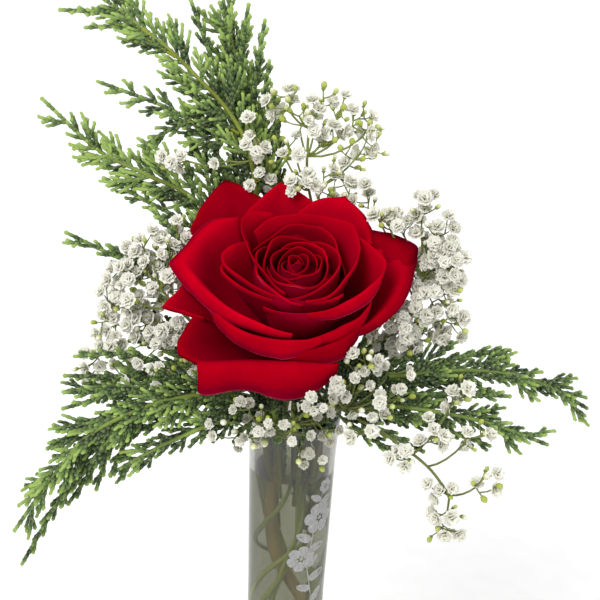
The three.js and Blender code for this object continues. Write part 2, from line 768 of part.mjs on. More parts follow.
// A cluster: a branch that ends in an eight-sided knot, with a stalk and floret on some of its sides.
// Each floret is a star of eight corners, domed above.
function clusterSolid(from, bend, hub, florets) {
  const points = [];
  const faces = [];
  const add = (p) => points.push(p) - 1;
  const back = bend.clone().sub(hub).normalize();
  const u = v3(0, 0, 1).cross(back).normalize();
  const v = back.clone().cross(u);
  const ends = [];
  for (let k = 0; k < 3; k++) {
    const a = (2 * Math.PI * k) / 3;
    const e = back.clone().multiplyScalar(Math.sqrt(1 / 3));
    e.addScaledVector(u, Math.sqrt(2 / 3) * Math.cos(a)).addScaledVector(v, Math.sqrt(2 / 3) * Math.sin(a));
    ends.push({ e, 1: add(hub.clone().addScaledVector(e, KNOT_R)), [-1]: add(hub.clone().addScaledVector(e, -KNOT_R)) });
  }
  const sides = [];
  for (const i of [1, -1])
    for (const j of [1, -1])
      for (const k of [1, -1]) {
        const corners = [ends[0][i], ends[1][j], ends[2][k]];
        const out = v3(0, 0, 0);
        [i, j, k].forEach((sign, n) => out.addScaledVector(ends[n].e, sign));
        sides.push({ corners: i * j * k > 0 ? corners : corners.reverse(), out: out.normalize() });
      }
  const middleOf = (ring) =>
    ring.reduce((sum, n) => sum.addScaledVector(points[n], 1 / 3), v3(0, 0, 0));
  // Carries a ring of three corners on to a new place, and returns the new ring
  const carry = (ring, place, way, r) => {
    const middle = middleOf(ring);
    const moved = ring.map((n) => {
      const q = points[n].clone().sub(middle);
      q.addScaledVector(way, -q.dot(way)).setLength(r);
      return add(q.add(place));
    });
    for (let k = 0; k < 3; k++) {
      const [a, b, c, d] = [ring[k], ring[(k + 1) % 3], moved[(k + 1) % 3], moved[k]];
      faces.push([a, b, c], [a, c, d]);
    }
    return moved;
  };
  const root = sides.shift();
  const atBend = carry(root.corners, bend, back, 0.62);
  const atStem = carry(atBend, from, from.clone().sub(bend).normalize(), 0.7);
  faces.push(atStem);
  for (const { at, facing, size } of florets) {
    const way = at.clone().sub(hub).normalize();
    sides.sort((a, b) => b.out.dot(way) - a.out.dot(way));
    const neck = carry(sides.shift().corners, at.clone().addScaledVector(facing, -size * 0.55), way, TWIG_R);
    const side = points[neck[0]].clone().sub(at);
    side.addScaledVector(facing, -side.dot(facing)).normalize();
    const other = facing.clone().cross(side);
    const star = Array.from({ length: 8 }, (_, k) => {
      const a = (Math.PI * (k - 1)) / 4;
      const r = k % 2 ? size : size * 0.7;
      const q = at.clone().addScaledVector(side, r * Math.cos(a)).addScaledVector(other, r * Math.sin(a));
      return add(q.addScaledVector(facing, k % 2 ? 0 : size * 0.3));
    });
    const top = add(at.clone().addScaledVector(facing, size * 0.6));
    for (let k = 0; k < 8; k++) {
      const [a, b] = [star[k], star[(k + 1) % 8]];
      const below = neck[Math.floor((k * 3) / 8)];
      const after = neck[Math.floor(((k + 1) * 3) / 8) % 3];
      faces.push([a, b, top], [b, a, below]);
      if (after !== below) faces.push([b, below, after]);
    }
  }
  for (const { corners } of sides) faces.push(corners);
  return solidOf(points, faces);
}

const nodes = new Map();

// True when a piece keeps its distance from every node made so far
function isClear(piece, own) {
  const box = piece.boundingBox();
  for (const [name, { solid, low, high }] of nodes) {
    const apart = [0, 1, 2].some((k) => box.min[k] > high[k] + 1 || box.max[k] < low[k] - 1);
    if (name !== own && !apart && piece.minGap(solid, 1) < CLEAR) return false;
  }
  return true;
}

function keep(name, solid) {
  const box = solid.boundingBox();
  nodes.set(name, { solid, low: box.min, high: box.max });
}

// Nearest place on a line of points
function nearest(line, p) {
  return line.reduce((best, q) => (q.distanceTo(p) < best.distanceTo(p) ? q : best));
}

const cedarWide = (t) => RACHIS_R * (0.95 - 0.35 * t);
const cedarThick = (t) => (t < 0.35 ? RACHIS_R * 0.85 : CEDAR_THICK / 2);

const bareCedar = (spray) => [
  frondSolid(spray, spray.face, [], cedarWide, cedarThick),
  ...(spray.side ? [frondSolid(spray.side, spray.face, [], () => 0.9, () => 0.6)] : []),
];

function makeCedar(spray) {
  const next = draws(spray.seed);
  const open = (blade) => isClear(bladeAlone(blade), spray.name);
  const main = bladesOn(spray, spray.face, next).filter(open);
  const pieces = [frondSolid(spray, spray.face, main, cedarWide, cedarThick)];
  if (spray.side) {
    const side = bladesOn(spray.side, spray.face, next).filter(open);
    pieces.push(frondSolid(spray.side, spray.face, side, (t) => 0.95 - 0.3 * t, () => CEDAR_THICK / 2));
  }
  return fused(pieces, SPRAY_FINE);
}

const breathPoints = (line) => Math.round(line.length * 1.7);
const bareBreath = ({ line }) => [rod(path(line, breathPoints(line)), BREATH_STEM_R, 3)];

function makeBreath(spray) {
  const next = draws(spray.seed);
  const line = path(spray.line, breathPoints(spray.line));
  const pieces = bareBreath(spray);
  const free = line.slice(Math.floor(line.length * 0.6));
  for (const [n, [x, y, z, spread, count]] of spray.clusters.entries()) {
    const middle = v3(x, y, z);
    const start = nearest(free, middle);
    const from = start.clone().lerp(middle, (0.08 + 0.04 * n) / start.distanceTo(middle));
    const hub = middle.clone().lerp(from, Math.min(0.5, 7 / middle.distanceTo(from)));
    const bend = from.clone().lerp(hub, 0.5).add(v3(0, 0, -0.12 * from.distanceTo(hub)));
    const florets = [];
    for (let i = 0; i < count; i++) {
      const turn = 2 * Math.PI * (i / count + 0.25 * next());
      const high = 0.9 * (next() - 0.5);
      const away = v3(Math.cos(turn), 0.75 * high - 0.3 * Math.sin(turn), Math.sin(turn)).normalize();
      const at = middle.clone().addScaledVector(away, spread * (count > 1 ? 0.75 + 0.35 * next() : 0.1));
      const facing = at.clone().sub(hub).normalize().add(v3(0, -0.5, 0.3)).normalize();
      const floret = { at, facing, size: FLORET_R * (0.9 + 0.2 * next()) };
      if (isClear(clusterSolid(from, bend, hub, [floret]), spray.name)) florets.push(floret);
    }
    if (florets.length) pieces.push(clusterSolid(from, bend, hub, florets));
  }
  return fused(pieces, SPRAY_FINE);
}

keep("vase", turned([...VASE_OUTSIDE, ...VASE_INSIDE]));
keep("rose_stem", makeRoseStem());
keep("rose_bloom", makeBloom());
for (const spray of CEDAR) keep(spray.name, Manifold.union(bareCedar(spray)));
for (const spray of BREATH) keep(spray.name, Manifold.union(bareBreath(spray)));
for (const spray of CEDAR) keep(spray.name, makeCedar(spray));
for (const spray of BREATH) keep(spray.name, makeBreath(spray));

// Water fills the vase to its level, with a plain hole for every stem
const insideAt = (z) => {
  const rows = [...VASE_INSIDE].reverse();
  const i = Math.max(1, rows.findIndex((row) => row[1] >= z));
  const [[r0, z0], [r1, z1]] = [rows[i - 1], rows[i]];
  return r0 + ((r1 - r0) * (z - z0)) / (z1 - z0);
};
let water = turned([
  [0, WATER_BOTTOM],
  [13.2, WATER_BOTTOM],
  [15.2, 17.2],
  ...[50, 126, 160, WATER_TOP].map((z) => [insideAt(z) - GAP, z]),
  [0, WATER_TOP],
]);
const holes = [[ROSE_STEM, ROSE_POINTS, ROSE_STEM_R, 7]];
for (const { line } of BREATH) holes.push([line, breathPoints(line), BREATH_STEM_R, 3]);
for (const [line, count, radius, sides] of holes) {
  const points = path(line, count);
  const inside = points.slice(0, points.findIndex((p) => p.z > WATER_TOP + 1) + 2);
  const end = inside[0].clone().sub(inside[1]).setLength(GAP + 0.1).add(inside[0]);
  water = water.subtract(rod([end, ...inside], radius + (GAP + 0.1) / Math.cos(Math.PI / sides), sides));
}
for (const { line, face } of CEDAR) {
  const [low, high] = line;
  const end = [low[0], low[1], low[2] - GAP - 0.1];
  const hole = { line: [end, [high[0], high[1], WATER_TOP + 8]] };
  water = water.subtract(frondSolid(hole, face, [], () => RACHIS_R, () => RACHIS_R, GAP));
}
keep("water", water);

const COLOURS = {
  vase: [0xdfe6e4, 0.05],
  water: [0xcfd8d2, 0.02],
  rose_stem: [0x5d6a34, 0.6],
  rose_bloom: [0xa8051f, 0.55],
  cedar: [0x4f7a3a, 0.7],
  breath: [0xe9eadb, 0.8],
};

const group = new THREE.Group();
group.name = "rose_in_bud_vase";
for (const [name, { solid }] of nodes) {
  const { numProp, vertProperties, triVerts } = solid.getMesh();
  const positions = new Float32Array((vertProperties.length / numProp) * 3);
  for (let i = 0; i * numProp < vertProperties.length; i++)
    positions.set(vertProperties.subarray(i * numProp, i * numProp + 3), i * 3);
  const geometry = new THREE.BufferGeometry();
  geometry.setAttribute("position", new THREE.BufferAttribute(positions, 3));
  geometry.setIndex(new THREE.BufferAttribute(triVerts, 1));
  geometry.computeVertexNormals();
  const [color, roughness] = COLOURS[name] || COLOURS[name.split("_")[0]];
  const clear = name === "vase" || name === "water";
  const material = new THREE.MeshStandardMaterial({
    color,
    roughness,
    metalness: 0,
    transparent: clear,
    opacity: clear ? 0.35 : 1,
  });
  const mesh = new THREE.Mesh(geometry, material);
  mesh.name = name;
  group.add(mesh);
}

export default group;
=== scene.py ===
import functools
import math
import bpy
import numpy as np
from mathutils import Matrix, Vector, noise
from mathutils.bvhtree import BVHTree


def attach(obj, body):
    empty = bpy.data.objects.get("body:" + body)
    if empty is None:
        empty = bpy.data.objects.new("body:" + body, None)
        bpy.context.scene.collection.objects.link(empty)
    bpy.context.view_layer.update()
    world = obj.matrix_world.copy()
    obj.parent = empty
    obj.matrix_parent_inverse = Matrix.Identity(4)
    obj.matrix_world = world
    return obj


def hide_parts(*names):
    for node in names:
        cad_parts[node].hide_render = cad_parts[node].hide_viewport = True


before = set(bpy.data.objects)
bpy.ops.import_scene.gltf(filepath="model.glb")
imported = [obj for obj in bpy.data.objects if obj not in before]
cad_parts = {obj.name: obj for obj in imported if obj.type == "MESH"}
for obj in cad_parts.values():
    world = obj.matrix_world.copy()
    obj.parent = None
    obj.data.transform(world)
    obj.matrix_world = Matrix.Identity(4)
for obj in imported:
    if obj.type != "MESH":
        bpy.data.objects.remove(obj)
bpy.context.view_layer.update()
bpy.ops.object.select_all(action="DESELECT")
mm = 0.001  # the flower tables are in millimetres, as the part's own are
drawFactor, drawRange = 16807, 2147483647


# Repeatable draws between 0 and 1
def draws(seed):
    state = seed
    while True:
        state = state * drawFactor % drawRange
        yield state / drawRange


# Smooth value at t, 0 to 1, on a curve through rows of numbers
def along(rows, t):
    rows = np.asarray(rows, float)
    last = len(rows) - 1
    x = within01(t) * last
    i = min(int(x), last - 1)
    f = x - i
    b, c = rows[i], rows[i + 1]
    a = rows[i - 1] if i > 0 else 2 * b - c
    d = rows[i + 2] if i + 2 <= last else 2 * c - b
    return 0.5 * (2 * b + (c - a) * f + (2 * a - 5 * b + 4 * c - d) * f * f + (3 * b - a - 3 * c + d) * f**3)


# Direction of such a curve at t
def headingOf(rows, t, step=0.004):
    return unit(along(rows, t + step) - along(rows, t - step))


def pathRows(rows, count):
    return [along(rows, i / (count - 1)) for i in range(count)]


def within01(value):
    return max(0, min(1, value))


def blend(a, b, share):
    return a + (b - a) * share


def unit(v):
    return v / np.linalg.norm(v)


def lengthOf(rows):
    return sum(math.dist(a, b) for a, b in zip(rows, rows[1:]))


# A ring of edges drawn up from level to level, rows of height and two radii, then closed at both ends
def ringForm(name, sides, rings):
    z, wide, deep = rings[0]
    bpy.ops.mesh.primitive_circle_add(vertices=sides, radius=1, fill_type="NOTHING")
    form = bpy.context.object
    form.name = name
    bpy.ops.object.mode_set(mode="EDIT")
    bpy.ops.mesh.select_all(action="SELECT")
    bpy.ops.transform.resize(value=(wide, deep, 1), center_override=(0, 0, 0))
    bpy.ops.transform.translate(value=(0, 0, z))
    for z2, wide2, deep2 in rings[1:]:
        bpy.ops.mesh.extrude_edges_move(TRANSFORM_OT_translate={"value": (0, 0, z2 - z)})
        bpy.ops.transform.resize(value=(wide2 / wide, deep2 / deep, 1), center_override=(0, 0, z2))
        z, wide, deep = z2, wide2, deep2
    bpy.ops.mesh.select_all(action="SELECT")
    bpy.ops.mesh.fill_holes(sides=0)
    bpy.ops.mesh.normals_make_consistent(inside=False)
    bpy.ops.object.mode_set(mode="OBJECT")
    return form


# Gives a thin sheet its wall, front is added to the material number of the other side and the rim
def addWall(sheet, thickness, offset=0, front=0):
    wall = sheet.modifiers.new("wall", "SOLIDIFY")
    wall.thickness = thickness
    wall.offset = offset
    wall.material_offset = front
    wall.material_offset_rim = front
    bpy.ops.object.modifier_apply(modifier=wall.name)


def joinParts(parts, name):
    bpy.ops.object.select_all(action="DESELECT")
    for part in parts:
        part.select_set(True)
    bpy.context.view_layer.objects.active = parts[0]
    bpy.ops.object.join()
    parts[0].name = name
    return parts[0]


# Points and faces of a modelled shape, which then leaves the scene
def takeShape(form):
    shape = {
        "points": np.array([v.co[:] for v in form.data.vertices]),
        "faces": [tuple(p.vertices) for p in form.data.polygons],
    }
    bpy.data.objects.remove(form)
    return shape


# A heap gathers copies of modelled shapes, and becomes one piece
def newHeap():
    return {"points": [], "faces": [], "slots": [], "smooth": [], "tones": [], "count": 0}


def addCopy(heap, shape, points, slot, tones, smooth=True):
    n = heap["count"]
    heap["points"].append(points * mm)
    heap["faces"] += [tuple(n + k for k in face) for face in shape["faces"]]
    heap["slots"] += [slot] * len(shape["faces"])
    heap["smooth"] += [smooth] * len(shape["faces"])
    heap["tones"].append(tones)
    heap["count"] += len(points)


# Rows of the three tone channels, each given as one number or as a number for each point
def toneRows(*channels):
    return np.clip(np.stack(np.broadcast_arrays(*channels), axis=1), 0, 1)


def heapPiece(name, heap, *materials):
    mesh = bpy.data.meshes.new(name)
    mesh.from_pydata(np.concatenate(heap["points"]).tolist(), [], heap["faces"])
    mesh.polygons.foreach_set("material_index", heap["slots"])
    mesh.polygons.foreach_set("use_smooth", heap["smooth"])
    tone = mesh.attributes.new("tone", "FLOAT_COLOR", "POINT")
    rows = np.concatenate(heap["tones"])
    tone.data.foreach_set("color", np.c_[rows, np.ones(len(rows))].ravel())
    piece = bpy.data.objects.new(name, mesh)
    bpy.context.scene.collection.objects.link(piece)
    for material in materials:
        mesh.materials.append(material)
    mesh.validate()
    return piece


def handOver(piece, slot, *nodes):
    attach(piece, "root")
    if nodes:
        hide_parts(*nodes)


# A piece's surface in millimetres, to measure gaps from
def surfaceOf(piece):
    mesh = piece.data
    corners = [v.co / mm for v in mesh.vertices]
    return BVHTree.FromPolygons(corners, [tuple(p.vertices) for p in mesh.polygons])


surfaces = {name: surfaceOf(node) for name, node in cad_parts.items()}
vaseRoom = 3  # added blades and florets stay this far from the glass


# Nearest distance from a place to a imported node, or to the modelled petals
def gapTo(node, place):
    hit = surfaces[node].find_nearest(Vector(place))
    return hit[3] if hit[0] is not None else math.inf


# True where a place keeps its room from the petals and from the glass
def isFree(place, room):
    return gapTo("petals", place) > room and gapTo("vase", place) > vaseRoom


# Shared material steps, most of them return the output that the next one reads
def startMaterial(name):
    material = bpy.data.materials.new(name)
    material.use_nodes = True
    tree = material.node_tree
    return material, tree, addNode(tree, "TexCoord", {})["Object"]


# Links each socket to another node's output, or sets its fixed value
def setSockets(tree, node, sockets):
    for name, value in sockets.items():
        if hasattr(value, "links"):
            tree.links.new(value, node.inputs[name])
        else:
            node.inputs[name].default_value = value


def setShader(tree, sockets):
    setSockets(tree, tree.nodes["Principled BSDF"], sockets)


def addNode(tree, kind, sockets, **settings):
    node = tree.nodes.new("ShaderNode" + kind)
    for name, value in settings.items():
        setattr(node, name, value)
    setSockets(tree, node, sockets)
    return node.outputs


def rampOn(tree, source, stops):
    ramp = tree.nodes.new("ShaderNodeValToRGB")
    elements = ramp.color_ramp.elements
    while len(elements) < len(stops):
        elements.new(0.5)
    for element, (place, colour) in zip(elements, stops):
        element.position = place
        element.color = (*colour, 1)
    setSockets(tree, ramp, {"Fac": source})
    return ramp.outputs["Color"]


def noiseOn(tree, source, scale, detail, stretch=(1, 1, 1)):
    place = addNode(tree, "Mapping", {"Vector": source, "Scale": stretch})["Vector"]
    return addNode(tree, "TexNoise", {"Vector": place, "Scale": scale, "Detail": detail})["Fac"]


def mixOn(tree, kind, amount, first, second):
    return addNode(tree, "Mix", {0: amount, 6: first, 7: second}, data_type="RGBA", blend_type=kind)[2]


def mathOn(tree, operation, *values):
    return addNode(tree, "Math", dict(enumerate(values)), operation=operation)["Value"]


def rangeOn(tree, source, low, high):
    return addNode(tree, "MapRange", {"Value": source, "To Min": low, "To Max": high})["Result"]


def bumpOn(tree, source, strength, distance):
    return addNode(tree, "Bump", {"Height": source, "Strength": strength, "Distance": distance})["Normal"]


# The three channels of the tone that a heap's points carry
def toneOn(tree):
    tone = addNode(tree, "Attribute", {}, attribute_name="tone")["Color"]
    return addNode(tree, "SeparateColor", {"Color": tone})


# Rose petals: colours from the root to the edge, sheen and its tint, lowest and highest roughness
# Painted in the rise colours: shade at the root and inside the margin, light on the crest, a highlight at the
# edge
petalLooks = {
    "petal_velvet": {
        "rise": [
            (0.0, (0.15, 0.0, 0.006)), (0.3, (0.33, 0.0, 0.012)), (0.56, (0.44, 0.0, 0.014)),
            (0.74, (0.49, 0.0, 0.010)), (0.88, (0.44, 0.0, 0.010)), (0.955, (0.27, 0.0, 0.014)),
            (0.985, (0.31, 0.0, 0.020)), (1.0, (0.56, 0.05, 0.09)),
        ],
        "sheen": 0.03, "sheenTint": (1.0, 0.0, 0.3, 1), "rough": (0.5, 0.68),
    },
    "petal_back": {
        "rise": [
            (0.0, (0.20, 0.0, 0.01)), (0.15, (0.24, 0.0, 0.012)), (0.6, (0.34, 0.0, 0.018)),
            (0.93, (0.34, 0.0, 0.020)), (0.98, (0.31, 0.0, 0.025)), (1.0, (0.52, 0.05, 0.10)),
        ],
        "sheen": 0.03, "sheenTint": (1.0, 0.0, 0.35, 1), "rough": (0.55, 0.75),
    },
}
petalSkin = {
    "clouds": (55, 3),  # scale and detail of each pattern
    "veins": (1, 4, (90, 3, 1)),  # and how it is stretched
    "grain": (2600, 2),
    "cloudStops": [(0.3, (0.66, 0.6, 0.74)), (0.7, (1, 1, 1))],
    "veinStops": [(0.36, (0.72, 0.72, 0.8)), (0.52, (1, 1, 1))],
    "cloudShare": 0.8,
    "veinShare": 0.16,
    "grainShare": 0.35,
    # the petal tone is random, and on listed petals it is painted light and shade
    "toneRange": (0.6, 1.12),  # how bright the darkest and the palest petal are
    "bump": (0.22, 0.0003),
    "sheenRough": 0.35,
}


def petalMaterial(name, look):
    material, tree, place = startMaterial(name)
    uv = addNode(tree, "UVMap", {}, uv_map="UVMap")["UV"]
    rise = addNode(tree, "SeparateXYZ", {"Vector": uv})["Y"]
    clouds = noiseOn(tree, place, *petalSkin["clouds"])
    veins = noiseOn(tree, uv, *petalSkin["veins"])
    grain = noiseOn(tree, place, *petalSkin["grain"])
    soft = rampOn(tree, clouds, petalSkin["cloudStops"])
    lines = rampOn(tree, veins, petalSkin["veinStops"])
    # painted shade at the root, painted light on the crest and a painted highlight line at the edge
    colour = rampOn(tree, rise, look["rise"])
    colour = mixOn(tree, "MULTIPLY", petalSkin["cloudShare"], colour, soft)
    colour = mixOn(tree, "MULTIPLY", petalSkin["veinShare"], colour, lines)
    # tone of the whole petal, partly random and partly painted shade and light
    tone = addNode(tree, "Attribute", {}, attribute_name="petalTone")["Fac"]
    shade = rangeOn(tree, tone, *petalSkin["toneRange"])
    colour = addNode(tree, "VectorMath", {0: colour, "Scale": shade}, operation="SCALE")["Vector"]
    height = mathOn(tree, "MULTIPLY_ADD", grain, petalSkin["grainShare"], veins)
    setShader(tree, {
        "Base Color": colour,
        "Roughness": rangeOn(tree, clouds, *look["rough"]),
        "Normal": bumpOn(tree, height, *petalSkin["bump"]),
        "Sheen Weight": look["sheen"],
        "Sheen Roughness": petalSkin["sheenRough"],
        "Sheen Tint": look["sheenTint"],
        "Specular IOR Level": 0.0,
    })
    return material


petalFront, petalBack = (petalMaterial(name, look) for name, look in petalLooks.items())

# The bloom's own frame: angle round its axis, radius and height above the hip
bloom = {
    "hip": (0, -5, 260),
    "lean": math.radians(22),
    "thick": 0.42 * mm,
    "seed": 7,
    "across": 32,  # faces across a petal and down it
    "down": 26,
    "dent": (0.8, 13),  # depth and width of the dents in a petal
    "ripple": (0.5, 5),  # and of the ripple near its edge
    "cusp": 0.075,  # how wide a tip is, as a share of the petal's width
    "cuspOnCrest": 0.4,  # share of a tip that the crest takes up
    "rootTurn": 0.45,  # how far the root spreads, as a share of the crest
    "waist": (0.78, 0.45),  # spread and place of the waist between the root and the crest
}


def bloomPoint(angle, r, h, shift=(0, 0)):
    x = r * math.cos(math.radians(angle)) + shift[0]
    y = r * math.sin(math.radians(angle)) + shift[1]
    cosL, sinL = math.cos(bloom["lean"]), math.sin(bloom["lean"])
    hx, hy, hz = bloom["hip"]
    return np.array([hx + x, hy + y * cosL - h * sinL, hz + y * sinL + h * cosL])


# Margin and crest of each outer petal, rows of angle, radius and height. They follow the part's own.
# Tips are points of the margin: how far across, how far out and how far up.
# A listed tone is painted light and shade: low on petals lying in shade, high on lit ones; the rest are
# random.
outerPetals = [
    {"root": (5, 4), "belly": 8, "tips": [(0.5, 3.4, 0.6)],
     "rim": [(155, 60, 30), (140, 66, 37), (122, 70, 40), (113, 57, 40), (101, 46, 36)],
     "crest": [(153, 58, 30), (139, 62, 35), (123, 65, 39), (115, 55, 39), (105, 46, 35)]},
    {"root": (5, 5), "belly": 8, "tips": [(0.5, 2.6, 0.8)],
     "rim": [(137, 43, 40), (117, 50, 45), (102, 55, 46), (90, 49, 45), (76, 43, 40)],
     "crest": [(135, 42, 40), (116, 47, 44), (103, 51, 45), (91, 46, 44), (79, 41, 40)]},
    {"root": (5, 6), "belly": 8, "tone": 1.0, "tips": [(0.5, 2.8, 0.8), (0.86, 1.2, 0)],
     "rim": [(96, 40, 42), (83, 46, 47), (68, 48, 48), (51, 46, 46), (37, 42, 38)],
     "crest": [(93, 38, 42), (81, 43, 46), (67, 44, 47), (52, 42, 45), (38, 38, 39)]},
    {"root": (5, 3), "belly": 7, "tone": 0.1, "tips": [(0.3, 3.2, 0.4)],
     "rim": [(50, 47, 38), (34, 56, 38), (27, 59, 34), (19, 55, 27), (8, 49, 22), (-11, 38, 19),
             (-31, 30, 20)],
     "crest": [(46, 41, 39), (28, 45, 40), (19, 47, 37), (11, 45, 33), (1, 41, 29), (-15, 35, 26),
               (-34, 31, 26)]},
    {"root": (5, 5), "belly": 9, "tone": 1.0, "tips": [(0.43, 3.2, 0.3)],
     "rim": [(132, 45, 44), (142, 56, 40), (160, 60, 34), (167, 61, 31), (178, 54, 30), (194, 46, 32),
             (229, 36, 34), (265, 33, 36)],
     "crest": [(134, 43, 43), (147, 49, 42), (164, 51, 40), (174, 51, 39), (185, 46, 39), (203, 40, 40),
               (234, 34, 40), (265, 33, 38)]},
    {"root": (5, 4), "belly": 7, "tips": [(0.6, 0.8, -0.6)],
     "rim": [(187, 43, 29), (210, 42, 27), (234, 39, 25), (260, 35, 24), (277, 32, 25), (291, 31, 28)],
     "crest": [(187, 42, 32), (214, 40, 34), (233, 38, 35), (258, 35, 36), (276, 34, 36), (289, 32, 34)]},
    {"root": (5, 5), "belly": 7, "tips": [(0.45, 1.0, -0.8)],
     "rim": [(275, 30, 27), (294, 31, 25), (317, 34, 22), (331, 33, 26), (349, 33, 31)],
     "crest": [(274, 32, 33), (287, 31, 34), (307, 31, 36), (327, 33, 36), (345, 33, 36)]},
    {"root": (5, 7), "belly": 6, "tips": [(0.72, 2.0, 0.4), (0.25, 0.9, 0)], "roll": 0.8,
     "rim": [(230, 25, 37), (271, 23, 38), (316, 29, 37), (344, 35, 38), (357, 37, 44), (369, 38, 46),
             (382, 35, 48), (398, 31, 49)],
     "crest": [(230, 25, 40), (271, 25, 43), (315, 26, 44), (345, 31, 44), (359, 36, 45), (369, 36, 46),
               (380, 34, 48), (396, 30, 49)]},
    {"root": (6, 2), "belly": 5, "tips": [(0.5, 3.2, 0.2)],
     "rim": [(169, 54, 26), (178, 57, 25), (186, 61, 23), (190, 54, 22), (195, 45, 21)],
     "crest": [(171, 52, 26), (179, 54, 26), (187, 58, 25), (190, 53, 24), (195, 45, 23)]},
    {"root": (6, 2), "belly": 5, "tone": 0.2, "tips": [(0.55, 1.6, 0)],
     "rim": [(187, 47, 21), (196, 55, 18), (201, 59, 15), (207, 58, 12), (213, 54, 10), (228, 45, 11)],
     "crest": [(191, 46, 22), (200, 52, 20), (205, 57, 18), (210, 57, 16), (215, 53, 14), (229, 46, 15)]},
    {"root": (6, 2), "belly": 4, "tone": 0.45, "tips": [(0.3, 2.0, -1.0), (0.97, 1.6, 0)],
     "rim": [(217, 56, 14), (220, 58, 9), (226, 59, 6), (239, 46, 6), (264, 42, 3), (283, 39, 5),
             (305, 33, 12)],
     "crest": [(219, 55, 19), (221, 55, 20), (225, 52, 21), (238, 43, 22), (258, 37, 22), (278, 35, 21),
               (301, 34, 17)]},
    {"root": (6, 8), "belly": 4, "tips": [(0.26, 1.3, 1.0)], "roll": 0.5,
     "rim": [(149, 31, 46), (160, 36, 46), (169, 38, 45), (179, 36, 44), (194, 29, 43), (221, 23, 43),
             (257, 19, 43), (292, 22, 44), (322, 25, 45)],
     "crest": [(152, 28, 47), (163, 33, 47), (172, 35, 46), (181, 34, 46), (198, 27, 46), (224, 22, 46),
               (258, 20, 46), (291, 22, 46), (321, 24, 46)]},
    {"root": (6, 7), "belly": 4, "tips": [(0.17, 1.2, 0.8)], "roll": 0.5,
     "rim": [(167, 36, 40), (178, 37, 39), (194, 31, 38), (222, 23, 39), (259, 18, 40), (291, 21, 41),
             (319, 23, 42)],
     "crest": [(169, 34, 42), (180, 35, 42), (197, 29, 42), (223, 22, 42), (259, 19, 43), (290, 20, 43),
               (318, 22, 43)]},
    {"root": (7, 10), "belly": 3, "tips": [(0.66, 0.8, 1.6)], "roll": 0.5,
     "rim": [(245, 20, 47), (203, 19, 49), (165, 26, 50), (144, 36, 51), (129, 38, 51), (117, 33, 52)],
     "crest": [(249, 19, 48), (205, 18, 50), (166, 25, 51), (145, 34, 51), (131, 35, 52), (118, 31, 52)]},
    {"root": (7, 10), "belly": 3, "tips": [(0.4, 0.8, 1.8)], "roll": 0.5,
     "rim": [(142, 30, 50), (120, 31, 51), (96, 29, 52), (67, 30, 52), (47, 33, 51), (29, 31, 50)],
     "crest": [(142, 28, 50), (120, 29, 51), (95, 27, 52), (66, 28, 52), (47, 31, 51), (30, 29, 50)]},
    {"root": (7, 10), "belly": 3, "tips": [(0.3, 0.8, 1.6)], "roll": 0.5,
     "rim": [(51, 35, 50), (30, 31, 50), (11, 27, 49), (-21, 23, 48), (-55, 23, 47), (-83, 22, 46)],
     "crest": [(49, 32, 51), (28, 28, 51), (9, 25, 50), (-22, 21, 49), (-56, 22, 48), (-83, 21, 47)]},
    {"root": (5, 3), "belly": 6, "tone": 0.7, "tips": [(0.15, 2.0, 0.2)],
     "rim": [(34, 42, 37), (27, 59, 34), (19, 56, 27), (8, 50, 22), (-11, 39, 19), (-31, 31, 20)],
     "crest": [(33, 39, 37), (23, 46, 38), (12, 46, 34), (1, 42, 30), (-15, 36, 27), (-34, 32, 27)]},
    {"root": (5, 3), "belly": 6, "tone": 0.0, "tips": [(0.8, 1.0, 0)],
     "rim": [(252, 33, 16), (272, 33, 16), (288, 34, 18), (303, 36, 20), (316, 35, 24)],
     "crest": [(252, 32, 25), (272, 32, 27), (288, 33, 29), (303, 34, 31), (316, 34, 32)]},
]


# Inner petals wind in to the middle, each a golden angle on from the last and a little uneven
innerPetals = {
    "count": 14,
    "middle": (-2.0, 1.6),
    "stray": 2.2,  # how far a petal's own middle may be off
    "radius": (0.9, 22.5),  # innermost and outermost
    "spread": (136, 80),  # degrees to each side, of the innermost and the outermost
    "firstTurn": 75,
    "nextTurn": 137.5,
    "root": 33.4,  # height that they stand on
    "top": 48.8,
    "steps": (-1, -0.66, -0.33, 0, 0.33, 0.66, 1),
}


def innerPetal(i, next01):
    f = 1 - i / innerPetals["count"]
    radius = blend(*innerPetals["radius"], f**1.1)
    turn = innerPetals["firstTurn"] + i * innerPetals["nextTurn"]
    spread = blend(*innerPetals["spread"], f)
    rim, crest = [], []
    for t in innerPetals["steps"]:
        near = radius * (1 + 0.05 * t) * (0.93 + 0.14 * next(next01))
        lift = innerPetals["top"] + 1.2 * f - (5 + 2 * f) * abs(t) ** 1.7 + 1.3 * (next(next01) - 0.5)
        crest.append((turn + spread * t, near - 0.9, lift))
        rim.append((turn + spread * t, near - 0.7 + 0.6 * f, lift - 0.2 - 0.3 * f))
    peak = (0.42 + 0.16 * next(next01), 0.4 * f, 0.8 + 1.5 * f)
    root = (0.8 * radius, innerPetals["root"])
    return {"root": root, "belly": 1 + radius * 0.06, "rim": rim, "crest": crest, "tips": [peak]}


# Place on a petal: side runs across it, rise from its root over the crest to the margin
def petalPlace(petal, side, rise):
    (r0, h0), crest, rim = petal["root"], petal["crest"], petal["rim"]
    top = along(crest, side)
    edge = blend(top, along(rim, side), petal.get("roll", 1))
    for at, out, up in petal["tips"]:
        cusp = np.array([0, out, up]) * math.exp(-abs(side - at) / bloom["cusp"])
        edge = edge + cusp
        top = top + cusp * bloom["cuspOnCrest"]
    turn = blend((crest[0][0] + crest[-1][0]) / 2, top[0], bloom["rootTurn"])
    dr, dh = top[1] - r0, top[2] - h0
    belly = petal["belly"] / math.hypot(dr, dh)
    spread, low = bloom["waist"]
    waist = (blend(turn, top[0], spread), r0 + dr * low + dh * belly, h0 + dh * low - dr * belly)
    return bloomPoint(*along([(turn, r0, h0), waist, top, edge], rise), petal.get("shift", (0, 0)))


